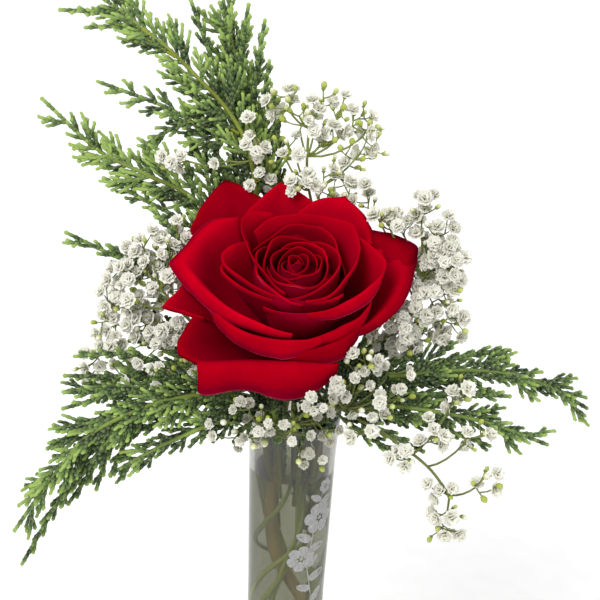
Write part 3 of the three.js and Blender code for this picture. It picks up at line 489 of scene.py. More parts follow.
def shapePetal(petal, number):
    bpy.ops.mesh.primitive_grid_add(x_subdivisions=bloom["across"], y_subdivisions=bloom["down"], size=2)
    sheet = bpy.context.object
    turned = petal["crest"][0][0] > petal["crest"][-1][0]
    centre = np.array(bloom["hip"], float)
    (dent, dentSize), (ripple, rippleSize) = bloom["dent"], bloom["ripple"]
    for v in sheet.data.vertices:
        side, rise = (v.co.x + 1) / 2, (v.co.y + 1) / 2
        place = petalPlace(petal, 1 - side if turned else side, 0.02 + 0.98 * rise)
        where = Vector(place) / dentSize + Vector((number * 3.7, 0, 0))  # each petal has its own dents
        fine = Vector(place) / rippleSize + Vector((0, number * 2.3, 0))
        push = dent * noise.noise(where) * min(1, rise * 1.6)
        push += ripple * noise.noise(fine) * max(0, rise - 0.75) * 4
        v.co = Vector(place + unit(place - centre) * push * petal.get("dent", 1)) * mm
    sheet.data.materials.append(petalBack)
    sheet.data.materials.append(petalFront)
    addWall(sheet, bloom["thick"], 0, 1)
    tone = sheet.data.attributes.new("petalTone", "FLOAT", "POINT")
    tone.data.foreach_set("value", [petal["tone"]] * len(sheet.data.vertices))
    return sheet


def makeBloom():
    next01 = draws(bloom["seed"])
    petals = [{"tone": 0.35 + 0.6 * next(next01), **petal} for petal in outerPetals]
    for i in range(innerPetals["count"]):
        drift = [middle + innerPetals["stray"] * (next(next01) - 0.5) for middle in innerPetals["middle"]]
        petals.append(dict(innerPetal(i, next01), tone=0.4 + 0.5 * next(next01), dent=0.5, shift=drift))
    joined = joinParts([shapePetal(petal, number) for number, petal in enumerate(petals)], "rose_petals")
    bpy.ops.object.shade_smooth()
    return joined


# The closely wound heart that the inner petals stand on, rows of height and radius
heart = {
    "rows": [
        (0.4, 4), (4, 12.5), (12, 17.5), (22, 19), (33.6, 18.4), (38.6, 15), (42.4, 10), (44.4, 5), (45, 0.5),
    ],
    "sides": 40,
    "levels": 29,
}


def toBloom(form):
    for v in form.data.vertices:
        r = math.hypot(v.co.x, v.co.y)
        v.co = Vector(bloomPoint(math.degrees(math.atan2(v.co.y, v.co.x)), r, v.co.z)) * mm


def makeHeart():
    rows = pathRows(heart["rows"], heart["levels"])
    form = ringForm("rose_heart", heart["sides"], [(h, r, r) for h, r in rows])
    toBloom(form)
    form.data.uv_layers.new(name="UVMap")
    form.data.materials.append(petalBack)
    bpy.ops.object.shade_smooth()
    return form


rosePetals = makeBloom()
surfaces["petals"] = surfaceOf(rosePetals)
roseHeart = makeHeart()
handOver(rosePetals, "rose_petals", "rose_bloom")
handOver(roseHeart, "rose_petals")
print("bloom:", len(rosePetals.data.polygons), "faces")

# Stems: low and high colour of the streaks, what the tone's first channel mixes in, and the tint under water
barkLooks = {
    "rose_bark": {
        "low": (0.15, 0.15, 0.04), "high": (0.27, 0.26, 0.07), "tip": (0.34, 0.12, 0.05),
        "wet": (0.84, 0.60, 0.10), "rough": 0.5,
    },
    "twig_green": {
        "low": (0.060, 0.075, 0.012), "high": (0.14, 0.16, 0.028), "tip": (0.24, 0.31, 0.055),
        "wet": (0.72, 0.84, 0.15), "rough": 0.55,
    },
    "sepal_green": {
        "low": (0.05, 0.11, 0.03), "high": (0.10, 0.19, 0.05), "tip": (0.20, 0.28, 0.08),
        "wet": (0.2, 0.3, 0.1), "rough": 0.6,
    },
}


def barkMaterial(name, look):
    material, tree, place = startMaterial(name)
    streaks = noiseOn(tree, place, 300, 4, (1, 1, 0.12))
    tone = toneOn(tree)
    bark = rampOn(tree, streaks, [(0.3, look["low"]), (0.72, look["high"])])
    colour = mixOn(tree, "MIX", tone["Red"], bark, (*look["tip"], 1))
    deep = mixOn(tree, "MULTIPLY", 0.6, (*look["wet"], 1), bark)
    setShader(tree, {
        "Base Color": mixOn(tree, "MIX", tone["Green"], colour, deep),
        "Roughness": rangeOn(tree, streaks, look["rough"] - 0.1, look["rough"] + 0.1),
        "Normal": bumpOn(tree, streaks, 0.3, 0.0003),
    })
    return material


roseBark, twigGreen, sepalGreen = (barkMaterial(name, look) for name, look in barkLooks.items())

roseStem = {
    "line": [
        (9, 3, 18), (12, 1.5, 60), (8, 0, 105), (-3, 0, 137), (-7, -2, 165), (-7.5, -3, 190),
        (-6.5, -4, 214), (-2.5, -4, 240), (0, -3.6, 256.5),
    ],
    "radius": 2.6,
    "sides": 16,
    "rings": 90,
    "nodes": (0.05, 37),  # how much and how often it swells
    "flare": (0.28, 0.94),  # how much it widens under the hip, and from which share of the line
    "underWater": 0.7,  # share of the line that stands in the water
    "red": (0.8, 0.68, 0.1),  # strength, middle and width of the reddish stretch, as shares of the line
    "hip": [(-9, 2.6), (-7, 4.8), (-4, 6), (-1.4, 5.6), (-0.3, 4.4)],  # height and radius
    "hipSides": 24,
    "sepals": 5,
    "sepal": [(3.5, -3.6, 2.4), (9, -4.2, 3.4), (15, -6.5, 2.4), (21, -11, 0.5)],  # radius, height, half width
    "sepalThick": 0.6 * mm,
}


# A straight tube a unit long and wide, its ends a little rounded
@functools.cache
def tubeShape(sides, rings, low=0.004, end=0.94):
    middle = [(blend(low, 1 - low, i / rings), 1, 1) for i in range(rings + 1)]
    return takeShape(ringForm("tube", sides, [(0, end, end)] + middle + [(1, end, end)]))


# Lays a tube along a smooth line through rows of places
def addTube(heap, rows, radius, sides, rings, tone):
    shape = tubeShape(sides, rings)
    places = {}
    side = np.array([0.0, 1.0, 0.0])
    for z in sorted(set(shape["points"][:, 2].round(6))):
        heading = headingOf(rows, z)
        if z == 0 and abs(heading[1]) > 0.8:
            side = np.array([1.0, 0.0, 0.0])
        side = unit(side - heading * side.dot(heading))
        places[z] = (along(rows, z), side, np.cross(heading, side), radius(z))
    points = np.empty_like(shape["points"])
    tones = np.empty_like(shape["points"])
    for k, (x, y, z) in enumerate(shape["points"]):
        at, a, b, r = places[round(z, 6)]
        points[k] = at + a * x * r + b * y * r
        tones[k] = tone(z)
    addCopy(heap, shape, points, 0, tones)


def makeRoseStem():
    heap = newHeap()
    (bump, often), (flare, start) = roseStem["nodes"], roseStem["flare"]
    strength, middle, width = roseStem["red"]
    widen = lambda z: flare * max(0, z - start) / (1 - start)
    swell = lambda z: roseStem["radius"] * (1 + bump * math.sin(z * often) + widen(z))
    red = lambda z: strength * math.exp(-(((z - middle) / width) ** 2))
    wet = lambda z: within01((roseStem["underWater"] - z) * 10)
    tone = lambda z: (red(z), wet(z), 0)
    addTube(heap, roseStem["line"], swell, roseStem["sides"], roseStem["rings"], tone)
    stem = heapPiece("rose_stalk", heap, roseBark)
    hip = ringForm("rose_hip", roseStem["hipSides"], [(h, r, r) for h, r in roseStem["hip"]])
    toBloom(hip)
    green = [hip] + [shapeSepal(30 + 360 / roseStem["sepals"] * k) for k in range(roseStem["sepals"])]
    for part in green:
        part.data.materials.append(sepalGreen)
        part.data.attributes.new("tone", "FLOAT_COLOR", "POINT")
    joined = joinParts([stem] + green, "rose_stalk")
    bpy.ops.object.shade_smooth()
    return joined


def shapeSepal(middle):
    bpy.ops.mesh.primitive_grid_add(x_subdivisions=6, y_subdivisions=14, size=2)
    sheet = bpy.context.object
    for v in sheet.data.vertices:
        r, h, half = along(roseStem["sepal"], (v.co.y + 1) / 2)
        turn = middle + math.degrees(v.co.x * half / r)
        v.co = Vector(bloomPoint(turn, r, h - 0.5 * (1 - v.co.x**2))) * mm
    addWall(sheet, roseStem["sepalThick"])
    return sheet


roseStalk = makeRoseStem()
handOver(roseStalk, "rose_stem", "rose_stem")
print("rose stem done")

# Vase and water, rows of radius and height
vase = {
    "sides": 96,
    "outside": [
        (16.2, 0), (17.3, 0.35), (18.1, 1.3), (18.4, 2.8), (18.3, 12), (18.2, 50), (19.4, 126), (20.4, 160),
        (21.4, 198), (22.1, 209), (22.75, 216), (23.0, 218.4), (22.8, 219.5), (22.2, 219.95),
    ],
    "inside": [
        (21.5, 219.9), (20.9, 219.2), (20.3, 216), (19.6, 209), (18.9, 198), (17.9, 160), (16.9, 126),
        (15.7, 50), (15.6, 18), (15.0, 15), (13.5, 13.4), (9, 13.05), (0.4, 13.0),
    ],
    "pole": 0.4,  # radius of the small face that closes a floor or a top
    "waterTop": 187,
    "waterFloor": 13.2,
    "waterLevels": [18, 50, 80, 110, 126, 145, 160, 172],
    "overlap": 0.12,  # how far the water reaches into the glass
    "smoothUnder": 50,  # degrees
}
glassLooks = {
    # edge is a darker tint where the wall is seen edge-on: painted shade
    "clear_glass": {"tint": (0.455, 0.46, 0.405), "edge": (0.26, 0.26, 0.23), "ior": 1.5, "cloud": 0.96},
    "still_water": {"tint": (0.78, 0.79, 0.63), "edge": (0.74, 0.75, 0.60), "ior": 1.333, "cloud": 0.94},
}


def glassMaterial(name, look):
    material, tree, place = startMaterial(name)
    haze = noiseOn(tree, place, 40, 3)
    cloudy = tuple(c * look["cloud"] for c in look["tint"])
    slant = addNode(tree, "LayerWeight", {})["Facing"]
    # painted shade where the wall is seen edge-on
    edgeShade = addNode(tree, "MapRange", {"Value": slant, "From Min": 0.40, "From Max": 0.60})["Result"]
    body = rampOn(tree, haze, [(0.25, cloudy), (0.75, look["tint"])])
    setShader(tree, {
        "Base Color": mixOn(tree, "MIX", edgeShade, body, (*look["edge"], 1)),
        "Roughness": rangeOn(tree, haze, 0, 0.015),
        "Transmission Weight": 1,
        "Specular IOR Level": 0.35,
        "IOR": look["ior"],
    })
    return material


clearGlass, clearWater = (glassMaterial(name, look) for name, look in glassLooks.items())


# Radius of the glass at a height, on its outside or inside
def radiusAt(side, z):
    radii, heights = zip(*sorted(vase[side], key=lambda row: row[1]))
    return float(np.interp(z, heights, radii))


def turnedForm(name, rows, material):
    form = ringForm(name, vase["sides"], [(z * mm, r * mm, r * mm) for r, z in rows])
    form.data.materials.append(material)
    form.visible_shadow = False  # so that the lamps reach the stems
    bpy.ops.object.shade_smooth_by_angle(angle=math.radians(vase["smoothUnder"]))
    return form


def waterRows():
    top, low, pole = vase["waterTop"], vase["waterFloor"], vase["pole"]
    wall = radiusAt("inside", top)
    rows = [(pole, low), (9, low), (13.4, low + 0.2), (15.0, low + 1.7)]
    for z in vase["waterLevels"] + [top - 1.5, top - 0.5]:
        rows.append((radiusAt("inside", z) + vase["overlap"], z))
    return rows + [(wall + vase["overlap"], top + 0.4), (wall - 0.7, top), (9, top - 0.25), (pole, top - 0.3)]


glassVase = turnedForm("glass_vase", [(vase["pole"], 0)] + vase["outside"] + vase["inside"], clearGlass)
vaseWater = turnedForm("vase_water", waterRows(), clearWater)
handOver(glassVase, "clear_glass", "vase")
handOver(vaseWater, "water", "water")
print("vase and water done")

# Frosted sprig etched on the vase's right side: three open flowers and ten leaves on a bent stalk.
# Flowers are rows of place, size and turn, leaves are rows of place, turn and length.
sprig = {
    "turn": 34,
    "bottom": 100,
    "stalk": [(1.5, 0), (3.0, 14), (0.5, 30), (-1.5, 42), (0.5, 56), (2.0, 68), (5.5, 82)],
    "stalkHalf": 0.28,
    "flowers": [(-4.8, 45, 7.4, 20), (4.2, 67, 8.8, 55), (7.2, 84, 4.2, 10)],
    "petals": 6,
    "petalGap": 0.18,  # from the middle of a flower to the foot of a petal
    "petal": (0.82, 0.45, 0.64),  # length to the size, half width to the length, and where it is widest
    "eye": (0.24, 0.5, 0.5),  # the same three of a flower's middle
    "leaves": [
        (2.6, 8, 20, 8), (2.6, 10, 150, 7.5), (2.4, 18, 45, 9), (1.2, 26, 160, 8), (0.4, 32, 15, 10),
        (-1.2, 40, 40, 8), (-0.6, 50, 5, 9), (-0.2, 55, 150, 9), (3.4, 74, 20, 9), (4.0, 77, 145, 7),
    ],
    "leaf": (0.26, 0.42),  # half width as a share of the length, and where it is widest
    "proud": 0.05,  # how far the etching stands off the glass, so that the two don't share a surface
    "thick": 0.06 * mm,
}


def frostMaterial():
    material, tree, place = startMaterial("frosted_etching")
    frost = noiseOn(tree, place, 900, 3)
    setShader(tree, {
        "Base Color": rampOn(tree, frost, [(0.3, (0.36, 0.36, 0.355)), (0.7, (0.70, 0.70, 0.69))]),
        "Roughness": rangeOn(tree, frost, 0.5, 0.8),
        "Normal": bumpOn(tree, frost, 0.4, 0.0002),
        "Transmission Weight": 0.5,
    })
    return material


# A flat petal or leaf from a place, at a turn, with its widest part at a share of its length
def etchBlade(x, z, turn, size, wide, widest):
    bpy.ops.mesh.primitive_circle_add(vertices=24, radius=1, fill_type="TRIFAN")
    blade = bpy.context.object
    cosT, sinT = math.cos(math.radians(turn)), math.sin(math.radians(turn))
    for v in blade.data.vertices:
        t = ((v.co.x + 1) / 2) ** (math.log(widest) / math.log(0.5))
        w = v.co.y * wide
        v.co = (x + size * (t * cosT - w * sinT), z + size * (t * sinT + w * cosT), 0)
    return blade


def wrapOnGlass(flat):
    for v in flat.data.vertices:
        z = sprig["bottom"] + v.co.y
        r = radiusAt("outside", z) + sprig["proud"]
        angle = math.radians(sprig["turn"] - 90) + v.co.x / r
        v.co = Vector((r * math.cos(angle), r * math.sin(angle), z)) * mm


def makeSprig():
    bpy.ops.mesh.primitive_grid_add(x_subdivisions=2, y_subdivisions=60, size=2)
    stalk = bpy.context.object
    for v in stalk.data.vertices:
        s, up = along(sprig["stalk"], (v.co.y + 1) / 2)
        v.co = (s + v.co.x * sprig["stalkHalf"], up, 0)
    parts = [stalk]
    long, wide, widest = sprig["petal"]
    eye, eyeWide, eyeWidest = sprig["eye"]
    for x, z, size, turn in sprig["flowers"]:
        for k in range(sprig["petals"]):
            degrees = turn + 360 / sprig["petals"] * k
            a = math.radians(degrees)
            gap = sprig["petalGap"] * size
            foot = (x + gap * math.cos(a), z + gap * math.sin(a))
            parts.append(etchBlade(*foot, degrees, size * long, wide, widest))
        parts.append(etchBlade(x - eye / 2 * size, z, 0, size * eye, eyeWide, eyeWidest))
    for x, z, turn, size in sprig["leaves"]:
        parts.append(etchBlade(x, z, turn, size, *sprig["leaf"]))
    for part in parts:
        wrapOnGlass(part)
    etched = joinParts(parts, "etched_sprig")
    addWall(etched, sprig["thick"], 1)
    etched.data.materials.append(frostMaterial())
    return etched


etchedSprig = makeSprig()
handOver(etchedSprig, "clear_glass")
print("etching done")

# Cedar: cords of overlapping scale leaves
cedarLook = {
    "width": 1.13,  # half width and half thickness of a cord
    "thick": 0.68,
    "scale": 2.4,  # length of a scale
    "bulge": (1.2, 0.82),  # width and thickness of a scale at an edge, and of one on a face
    "flat": (0.92, 1.22),
    "notch": 0.78,  # between scales
    "turn": 0.24,  # how far a blade's tip turns to run with its line
    "sideStep": 3.0,  # between the cords on one blade
    "sideAngle": 30,
    "sideWidth": 0.92,
    "shortest": 4.2,
    "bareTip": 6.0,
    "coverStep": 7,  # length of a cord laid along a line
    "cordRoom": 2.5,  # least gap from a cord's tip and from a blade to the petals
    "bladeRoom": 3.5,
    "sameAs": 1.3,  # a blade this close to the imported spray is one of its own
    "finer": 3.8,  # finer blades for each coarse one
    "sunk": (20, 0.3, 0.049, 0.1),  # blades in the vase: count, first one, step and unevenness
    # a line's foot is darker, painted shade near the vase and under the bloom; it lightens up to the tip
    "lightness": (0.14, 0.40, 0.24),  # at a line's foot, what it gains up to the tip, and unevenness
    "dark": (0.007, 0.020, 0.006),  # colours: three of the scales, then a line's yellow and the pale edges
    "middle": (0.066, 0.122, 0.028),
    "light": (0.30, 0.43, 0.10),
    "axis": (0.27, 0.28, 0.02),
    "edge": (0.32, 0.42, 0.17),
}
# Lines run up a stem from the vase. A spray's side line, twigs and twigs further under carry blades too,
# and each twig also has the lengths of its first and last blades.
# Twigs further under are darker, painted shade on the foliage under and behind the bloom.
cedar = [
    {"name": "cedar_back_left_tall", "shade": 0.08, "yellow": 0.85, "spread": 36, "seed": 11,
     "face": (-0.15, -0.88, 0.42), "first": 0.5, "blades": 9,
     "line": [(-3, 9, 152), (-7.3, 12.6, 206), (-9, 17, 228), (-19, 31, 285), (-30, 38, 342),
              (-59, 42, 376), (-84, 44, 396), (-104, 46, 409)],
     "long": (36, 17),
     "side": {"line": [(-30, 38, 342), (-47, 42, 343), (-67, 46, 353), (-100, 47, 364)],
              "blades": 4, "long": (24, 14), "first": 0.22},
     "twigs": [([(-64, 42, 380), (-78, 42, 388), (-92, 43, 393), (-106, 43, 392)], 7, 5),
               ([(-76, 43, 390), (-90, 44, 397), (-102, 45, 399), (-118, 46, 399)], 7, 5),
               ([(-40, 39, 352), (-55, 38, 350), (-68, 38, 344), (-78, 36, 337)], 14, 8),
               ([(-19, 34, 290), (-30, 39, 312), (-48, 40, 340), (-60, 38, 354)], 20, 12),
               ([(-33, 38, 345), (-45, 38, 352), (-58, 37, 366), (-66, 36, 378)], 16, 10),
               ([(-24, 40, 308), (-35, 43, 319), (-52, 44, 330)], 16, 10)],
     "under": [([(-23, 36, 296), (-34, 42, 306), (-45, 46, 324), (-56, 46, 334)], 16, 12)]},
    {"name": "cedar_back_left_low", "shade": 0.18, "yellow": 0.6, "spread": 38, "seed": 23,
     "face": (-0.2, -0.85, 0.45), "first": 0.52, "blades": 8,
     "line": [(-6, 8, 154), (-12.6, 7.3, 206), (-16, 11, 228), (-32, 26, 272), (-50, 33, 309),
              (-77, 33, 324), (-99, 30, 336), (-124, 24, 362)],
     "long": (31, 15),
     "twigs": [([(-38, 29, 284), (-56, 31, 300), (-78, 31, 312), (-96, 30, 322)], 15, 9),
               ([(-34, 28, 278), (-46, 31, 306), (-62, 33, 330), (-80, 32, 342)], 15, 9),
               ([(-36, 36, 284), (-44, 40, 304), (-47, 41, 318), (-50, 41, 332)], 16, 11)]},
    {"name": "cedar_back_fan", "shade": 0.02, "yellow": 0.5, "spread": 22, "seed": 37,
     "face": (0.1, -0.9, 0.4), "first": 0.56, "blades": 7,
     "line": [(5, 10, 150), (0, 14.6, 206), (-1, 19, 228), (-10, 36, 285), (-25, 48, 334), (-32, 54, 362),
              (-38, 58, 382), (-45, 61, 402)],
     "long": (34, 18),
     "twigs": [([(-23, 47, 328), (-35, 50, 352), (-47, 51, 376), (-58, 53, 404)], 16, 9),
               ([(-24, 47, 330), (-33, 47, 352), (-34, 48, 378), (-31, 50, 404)], 15, 9),
               ([(-22, 45, 322), (-27, 46, 348), (-26, 46, 374), (-23, 47, 398)], 14, 8),
               ([(-18, 42, 312), (-21, 43, 338), (-22, 42, 360), (-20, 42, 380)], 13, 7),
               ([(-12, 38, 296), (-13, 39, 326), (-15, 38, 350), (-17, 38, 366)], 12, 7)]},
    {"name": "cedar_left", "shade": -0.04, "yellow": 0.3, "spread": 26, "seed": 41,
     "face": (-0.1, -0.75, 0.65), "first": 0.58, "blades": 5,
     "line": [(-9, -3, 163), (-14.6, 0, 206), (-19.6, -0.5, 227), (-36, -4, 238), (-56, -11, 241),
              (-83, -17, 237), (-109, -21, 233)],
     "long": (23, 13),
     "side": {"line": [(-36, -4, 238), (-50, 14, 262), (-64, 18, 283), (-82, 14, 286), (-111, 10, 301)],
              "blades": 4, "long": (17, 11), "first": 0.45},
     "twigs": [([(-40, -5, 239), (-60, -13, 246), (-82, -16, 252), (-104, -17, 250)], 13, 8),
               ([(-38, 4, 250), (-52, 8, 282), (-60, 9, 304), (-72, 9, 316)], 12, 7),
               ([(-46, -7, 240), (-62, -14, 241), (-84, -18, 241), (-108, -20, 241)], 12, 7),
               ([(-46, -10, 240), (-62, -18, 239), (-84, -24, 235), (-108, -28, 228)], 13, 7)],
     "under": [([(-20, -0.5, 227), (-30, 2, 231), (-47, 4, 241), (-64, 4, 248), (-80, 2, 250)], 14, 9),
               ([(-20, -0.5, 227), (-34, 6, 236), (-52, 8, 246), (-67, 8, 259), (-80, 8, 266)], 14, 9),
               ([(-20, -0.5, 227), (-34, -10, 236), (-50, -18, 242), (-66, -22, 242)], 14, 9)]},
    {"name": "cedar_front_left_long", "shade": -0.04, "yellow": 0.35, "spread": 24, "seed": 53,
     "face": (-0.25, -0.75, 0.6), "first": 0.4, "blades": 8,
     "line": [(-8, -2, 162), (-12.6, -7.3, 206), (-17, -10, 226.5), (-34, -22, 237), (-54, -37, 241),
              (-71, -46, 239), (-94, -56, 229), (-110, -62, 209), (-126, -66, 184)],
     "long": (31, 19),
     "twigs": [([(-77, -49, 237), (-93, -52, 222), (-106, -58, 198), (-123, -64, 165)], 17, 9),
               ([(-66, -44, 240), (-82, -48, 226), (-90, -52, 200)], 15, 9),
               ([(-52, -34, 241), (-76, -42, 246), (-105, -46, 246)], 14, 9),
               ([(-60, -40, 240), (-86, -47, 236), (-112, -52, 220)], 16, 9),
               ([(-70, -46, 239), (-84, -56, 228), (-98, -60, 208), (-114, -63, 187)], 15, 9),
               ([(-58, -39, 241), (-74, -48, 236), (-87, -52, 218), (-102, -58, 195)], 15, 9),
               ([(-52, -36, 241), (-67, -44, 236), (-77, -46, 222), (-84, -48, 205)], 14, 8)]},
    {"name": "cedar_front_left_low", "shade": -0.12, "yellow": 0.3, "spread": 30, "seed": 67,
     "face": (-0.15, -0.75, 0.6), "first": 0.45, "blades": 5,
     "line": [(-4, -9, 176), (-7.3, -12.6, 206), (-10, -17, 226), (-20, -27, 232), (-35, -37, 230),
              (-54, -47, 225), (-69, -54, 219), (-83, -58, 211)],
     "long": (24, 16),
     "twigs": [([(-24, -30, 230), (-46, -38, 234), (-66, -44, 230), (-82, -48, 222)], 13, 8),
               ([(-22, -27, 232), (-42, -30, 238), (-62, -34, 242), (-84, -38, 243)], 13, 8)],
     "under": [([(-10, -17, 226), (-16, -22, 233), (-25, -34, 234), (-38, -38, 231), (-50, -40, 229)], 13, 9),
               ([(-10, -17, 226), (-13, -25, 233), (-20, -34, 230), (-27, -38, 221)], 13, 8),
               ([(-10, -17, 226), (-6, -25, 234), (-5, -34, 231), (-8, -36, 221)], 12, 8),
               ([(-10, -17, 226), (-20, -24, 236), (-36, -30, 238), (-50, -32, 239)], 13, 9)]},
    {"name": "cedar_right_high", "shade": -0.22, "yellow": 0.2, "spread": 19, "seed": 71,
     "face": (0.05, -0.7, 0.7), "first": 0.42, "blades": 7,
     "line": [(9, -1, 165), (7, -4, 206), (14, -4.6, 228), (30, -8, 240), (52, -14, 247), (76, -20, 254),
              (97, -24, 256), (118, -26, 251), (136, -28, 242)],
     "long": (29, 16),
     "twigs": [([(38, -10, 243), (62, -12, 252), (82, -14, 260), (99, -16, 264)], 13, 8),
               ([(24, -8, 234), (46, -13, 234), (70, -20, 241), (92, -24, 246)], 14, 9)],
     "under": [([(14, -4.6, 228), (23, -6, 240), (40, -8, 248), (58, -8, 255)], 14, 10),
               ([(14, -4.6, 228), (26, 2, 235), (46, 0, 240), (64, -2, 245)], 14, 10),
               ([(14, -4.6, 228), (24, 8, 233), (40, 10, 245), (54, 10, 257)], 13, 9),
               ([(30, -8, 240), (46, -13, 244), (62, -17, 246), (80, -20, 248)], 15, 12),
               ([(14, -4.6, 228), (18, 6, 240), (25, 12, 254), (32, 14, 264)], 20, 14),
               ([(14, -4.6, 228), (32, 0, 242), (46, 2, 254), (58, 4, 264)], 20, 15),
               ([(14, -4.6, 228), (22, 0, 236), (32, 6, 246), (44, 10, 256)], 20, 15),
               ([(14, -4.6, 228), (17, -12, 235), (20, -19, 243), (24, -20, 251)], 15, 10),
               ([(14, -4.6, 228), (20, -12, 236), (30, -20, 244), (42, -24, 250)], 16, 12),
               ([(14, -4.6, 228), (22, -4, 242), (30, -4, 254), (36, -2, 266)], 14, 10)]},
    {"name": "cedar_right_low", "shade": -0.13, "yellow": 0.2, "spread": 25, "seed": 83,
     "face": (0.05, -0.72, 0.68), "first": 0.44, "blades": 6,
     "line": [(7, -9, 160), (12.6, -7.3, 206), (17, -10, 226.5), (29, -17, 232), (44, -25, 236),
              (62, -31, 238), (82, -35, 237), (100, -37, 233), (118, -38, 227)],
     "long": (25, 14),
     "twigs": [([(30, -17, 232), (52, -22, 240), (76, -26, 245), (99, -30, 247)], 14, 8),
               ([(22, -14, 229), (36, -20, 240), (52, -24, 240), (66, -28, 236)], 13, 9),
               ([(36, -21, 233), (56, -26, 229), (76, -30, 226), (92, -33, 222)], 13, 8),
               ([(24, -24, 230), (36, -33, 230), (48, -39, 227), (60, -43, 223)], 14, 8),
               ([(20, -22, 229), (30, -33, 227), (42, -38, 222), (54, -41, 217)], 13, 8)],
     "under": [([(17, -10, 226), (13, -24, 234), (14, -32, 234), (19, -35, 227)], 12, 8),
               ([(17, -10, 226), (8, -24, 235), (4, -32, 232), (6, -36, 223)], 12, 8),
               ([(17, -10, 226), (10, -12, 232), (0, -14, 232), (-9, -14, 229)], 12, 8),
               ([(17, -10, 226), (16, -16, 234), (15, -22, 240), (10, -25, 243)], 11, 8),
               ([(17, -10, 226), (24, -16, 236), (40, -22, 239), (56, -26, 238)], 14, 10),
               ([(17, -10, 226), (26, -22, 234), (38, -30, 236), (50, -34, 234)], 13, 9)]},
]
# the twigs under and behind the bloom get painted shade, -0.42
twigKinds = {"twigs": (0, 18), "under": (-0.42, 14)}  # lightness added, and line length for a coarse blade
lineSides = 7
# a main line's foot in the vase is paler yellow, painted light against the shade in the vase
mainLine = {"from": 0.5, "rings": 70, "foot": 0.7}  # where its scales start, and how yellow its foot is
sideLine = {"from": 0.2, "rings": 26, "foot": 0}
twigLine = {"from": 0.1, "rings": 26, "foot": 0}


def cedarMaterial():
    material, tree, place = startMaterial("cedar_scales")
    patches = noiseOn(tree, place, 70, 3)
    speckle = noiseOn(tree, place, 1500, 2)
    tone = toneOn(tree)
    # the tone's first channel carries the painted shade and light of blades and cords
    light = mathOn(tree, "SUBTRACT", mathOn(tree, "ADD", patches, tone["Red"]), 0.20)
    stops = [(0.27, cedarLook["dark"]), (0.52, cedarLook["middle"]), (1.0, cedarLook["light"])]
    green = rampOn(tree, light, stops)
    edges = mixOn(tree, "MIX", tone["Green"], green, (*cedarLook["edge"], 1))
    setShader(tree, {
        "Base Color": mixOn(tree, "MIX", tone["Blue"], edges, (*cedarLook["axis"], 1)),
        "Roughness": rangeOn(tree, speckle, 0.45, 0.7),
        "Normal": bumpOn(tree, speckle, 0.25, 0.0002),
        "Specular IOR Level": 0.25,
    })
    return material


cedarScales = cedarMaterial()


# A straight cord a unit long: pairs of scales that bulge by turns on its edges and on its faces
@functools.cache
def cordShape(scales):
    levels = [(0, 0.7, 0.7)]
    for k in range(scales):
        wide, deep = cedarLook["bulge" if k % 2 else "flat"]
        taper = 1 - 0.3 * (k / scales) ** 3
        levels.append(((k + 0.72) / scales, wide * taper, deep * taper))
        if k < scales - 1:
            levels.append(((k + 1) / scales, *[cedarLook["notch"] * taper] * 2))
    return takeShape(ringForm("cord", 6, levels + [(1, 0.2, 0.2)]))


# One cord from a place, in a direction, flat to the given side, its tip turned by a little
def addCord(heap, at, onward, across, up, reach, width, turned, light):
    shape = cordShape(max(2, round(reach / cedarLook["scale"])))
    x, y, z = shape["points"].T
    points = at + np.outer(z * reach, onward) + np.outer(z * z, turned)
    points = points + np.outer(x * cedarLook["width"] * width, across)
    points = points + np.outer(y * cedarLook["thick"] * width, up)
    edge = np.hypot(x, y) > 0.99  # the points that stand out most
    # each cord is darker at its root, painted shade where it springs from the blade
    addCopy(heap, shape, points, 0, toneRows(light - 0.54 + 0.86 * z * z, 0.42 * edge, 0))


# Where a flat line points at t, which way its flat side looks, and which way is sideways
def frameAt(rows, face, t):
    heading = headingOf(rows, t)
    look = unit(np.array(face) - heading * heading.dot(face))
    return along(rows, t), heading, look, np.cross(heading, look)


def bladeAt(spray, face, t, hand, spread, reach, lift):
    at, heading, look, sideways = frameAt(spray["line"], face, t)
    onward = unit(heading * math.cos(spread) + sideways * hand * math.sin(spread) + look * math.sin(lift))
    return {"t": t, "at": at, "onward": onward, "heading": heading, "up": look, "reach": reach, "shade": lift}


# The part's own blades, in turn to the left and right of a line
def bladesOn(spray, face, next01):
    rows = []
    for i in range(spray["blades"]):
        share = i / (spray["blades"] - 1)
        t = blend(spray["first"], 0.94, share)
        spread = math.radians(32 + 12 * next(next01))
        reach = blend(*spray["long"], share) * (0.85 + 0.3 * next(next01))
        lift = math.radians(16 * (next(next01) - 0.5))
        rows.append(bladeAt(spray, face, t, -1 if i % 2 else 1, spread, reach, lift))
    return rows


# Finer blades between the part's own
def moreBlades(spray, face, middle, next01):
    rows = []
    count = round(spray["blades"] * cedarLook["finer"])
    whole = lengthOf(spray["line"])
    for i in range(count):
        share = (i + 0.5) / count
        spread = math.radians(middle - 5 + 12 * next(next01))
        t = blend(spray["first"] - 0.08, 0.92, share)
        reach = blend(*spray["long"], share) * (0.6 + 0.3 * next(next01))
        reach = min(reach, (1 - t) * whole * 0.8 + 4)  # shorter near the tip
        lift = math.radians(34 * (next(next01) - 0.5))
        rows.append(bladeAt(spray, face, t, 1 if i % 2 else -1, spread, reach, lift))
    return rows


# Short blades on the part of a stem that stands in the vase
def sunkBlades(spray, next01):
    rows = []
    last = len(spray["line"]) - 1
    count, first, step, uneven = cedarLook["sunk"]
    for i in range(count):
        t = (first + step * i + uneven * next(next01)) / last
        at, heading, _, _ = frameAt(spray["line"], (0, -1, 0), t)
        inward = unit(np.array([-at[0], -at[1], 8 * (next(next01) - 0.3)]))
        onward = unit(heading * 0.7 + inward * (0.4 + 0.7 * next(next01)))
        # these blades are lighter, painted light against the shade inside the vase
        blade = {"t": 0.5, "at": at, "onward": onward, "heading": heading, "shade": 0.5}
        rows.append(dict(blade, up=unit(np.cross(heading, inward)), reach=8 + 6 * next(next01)))
    return rows


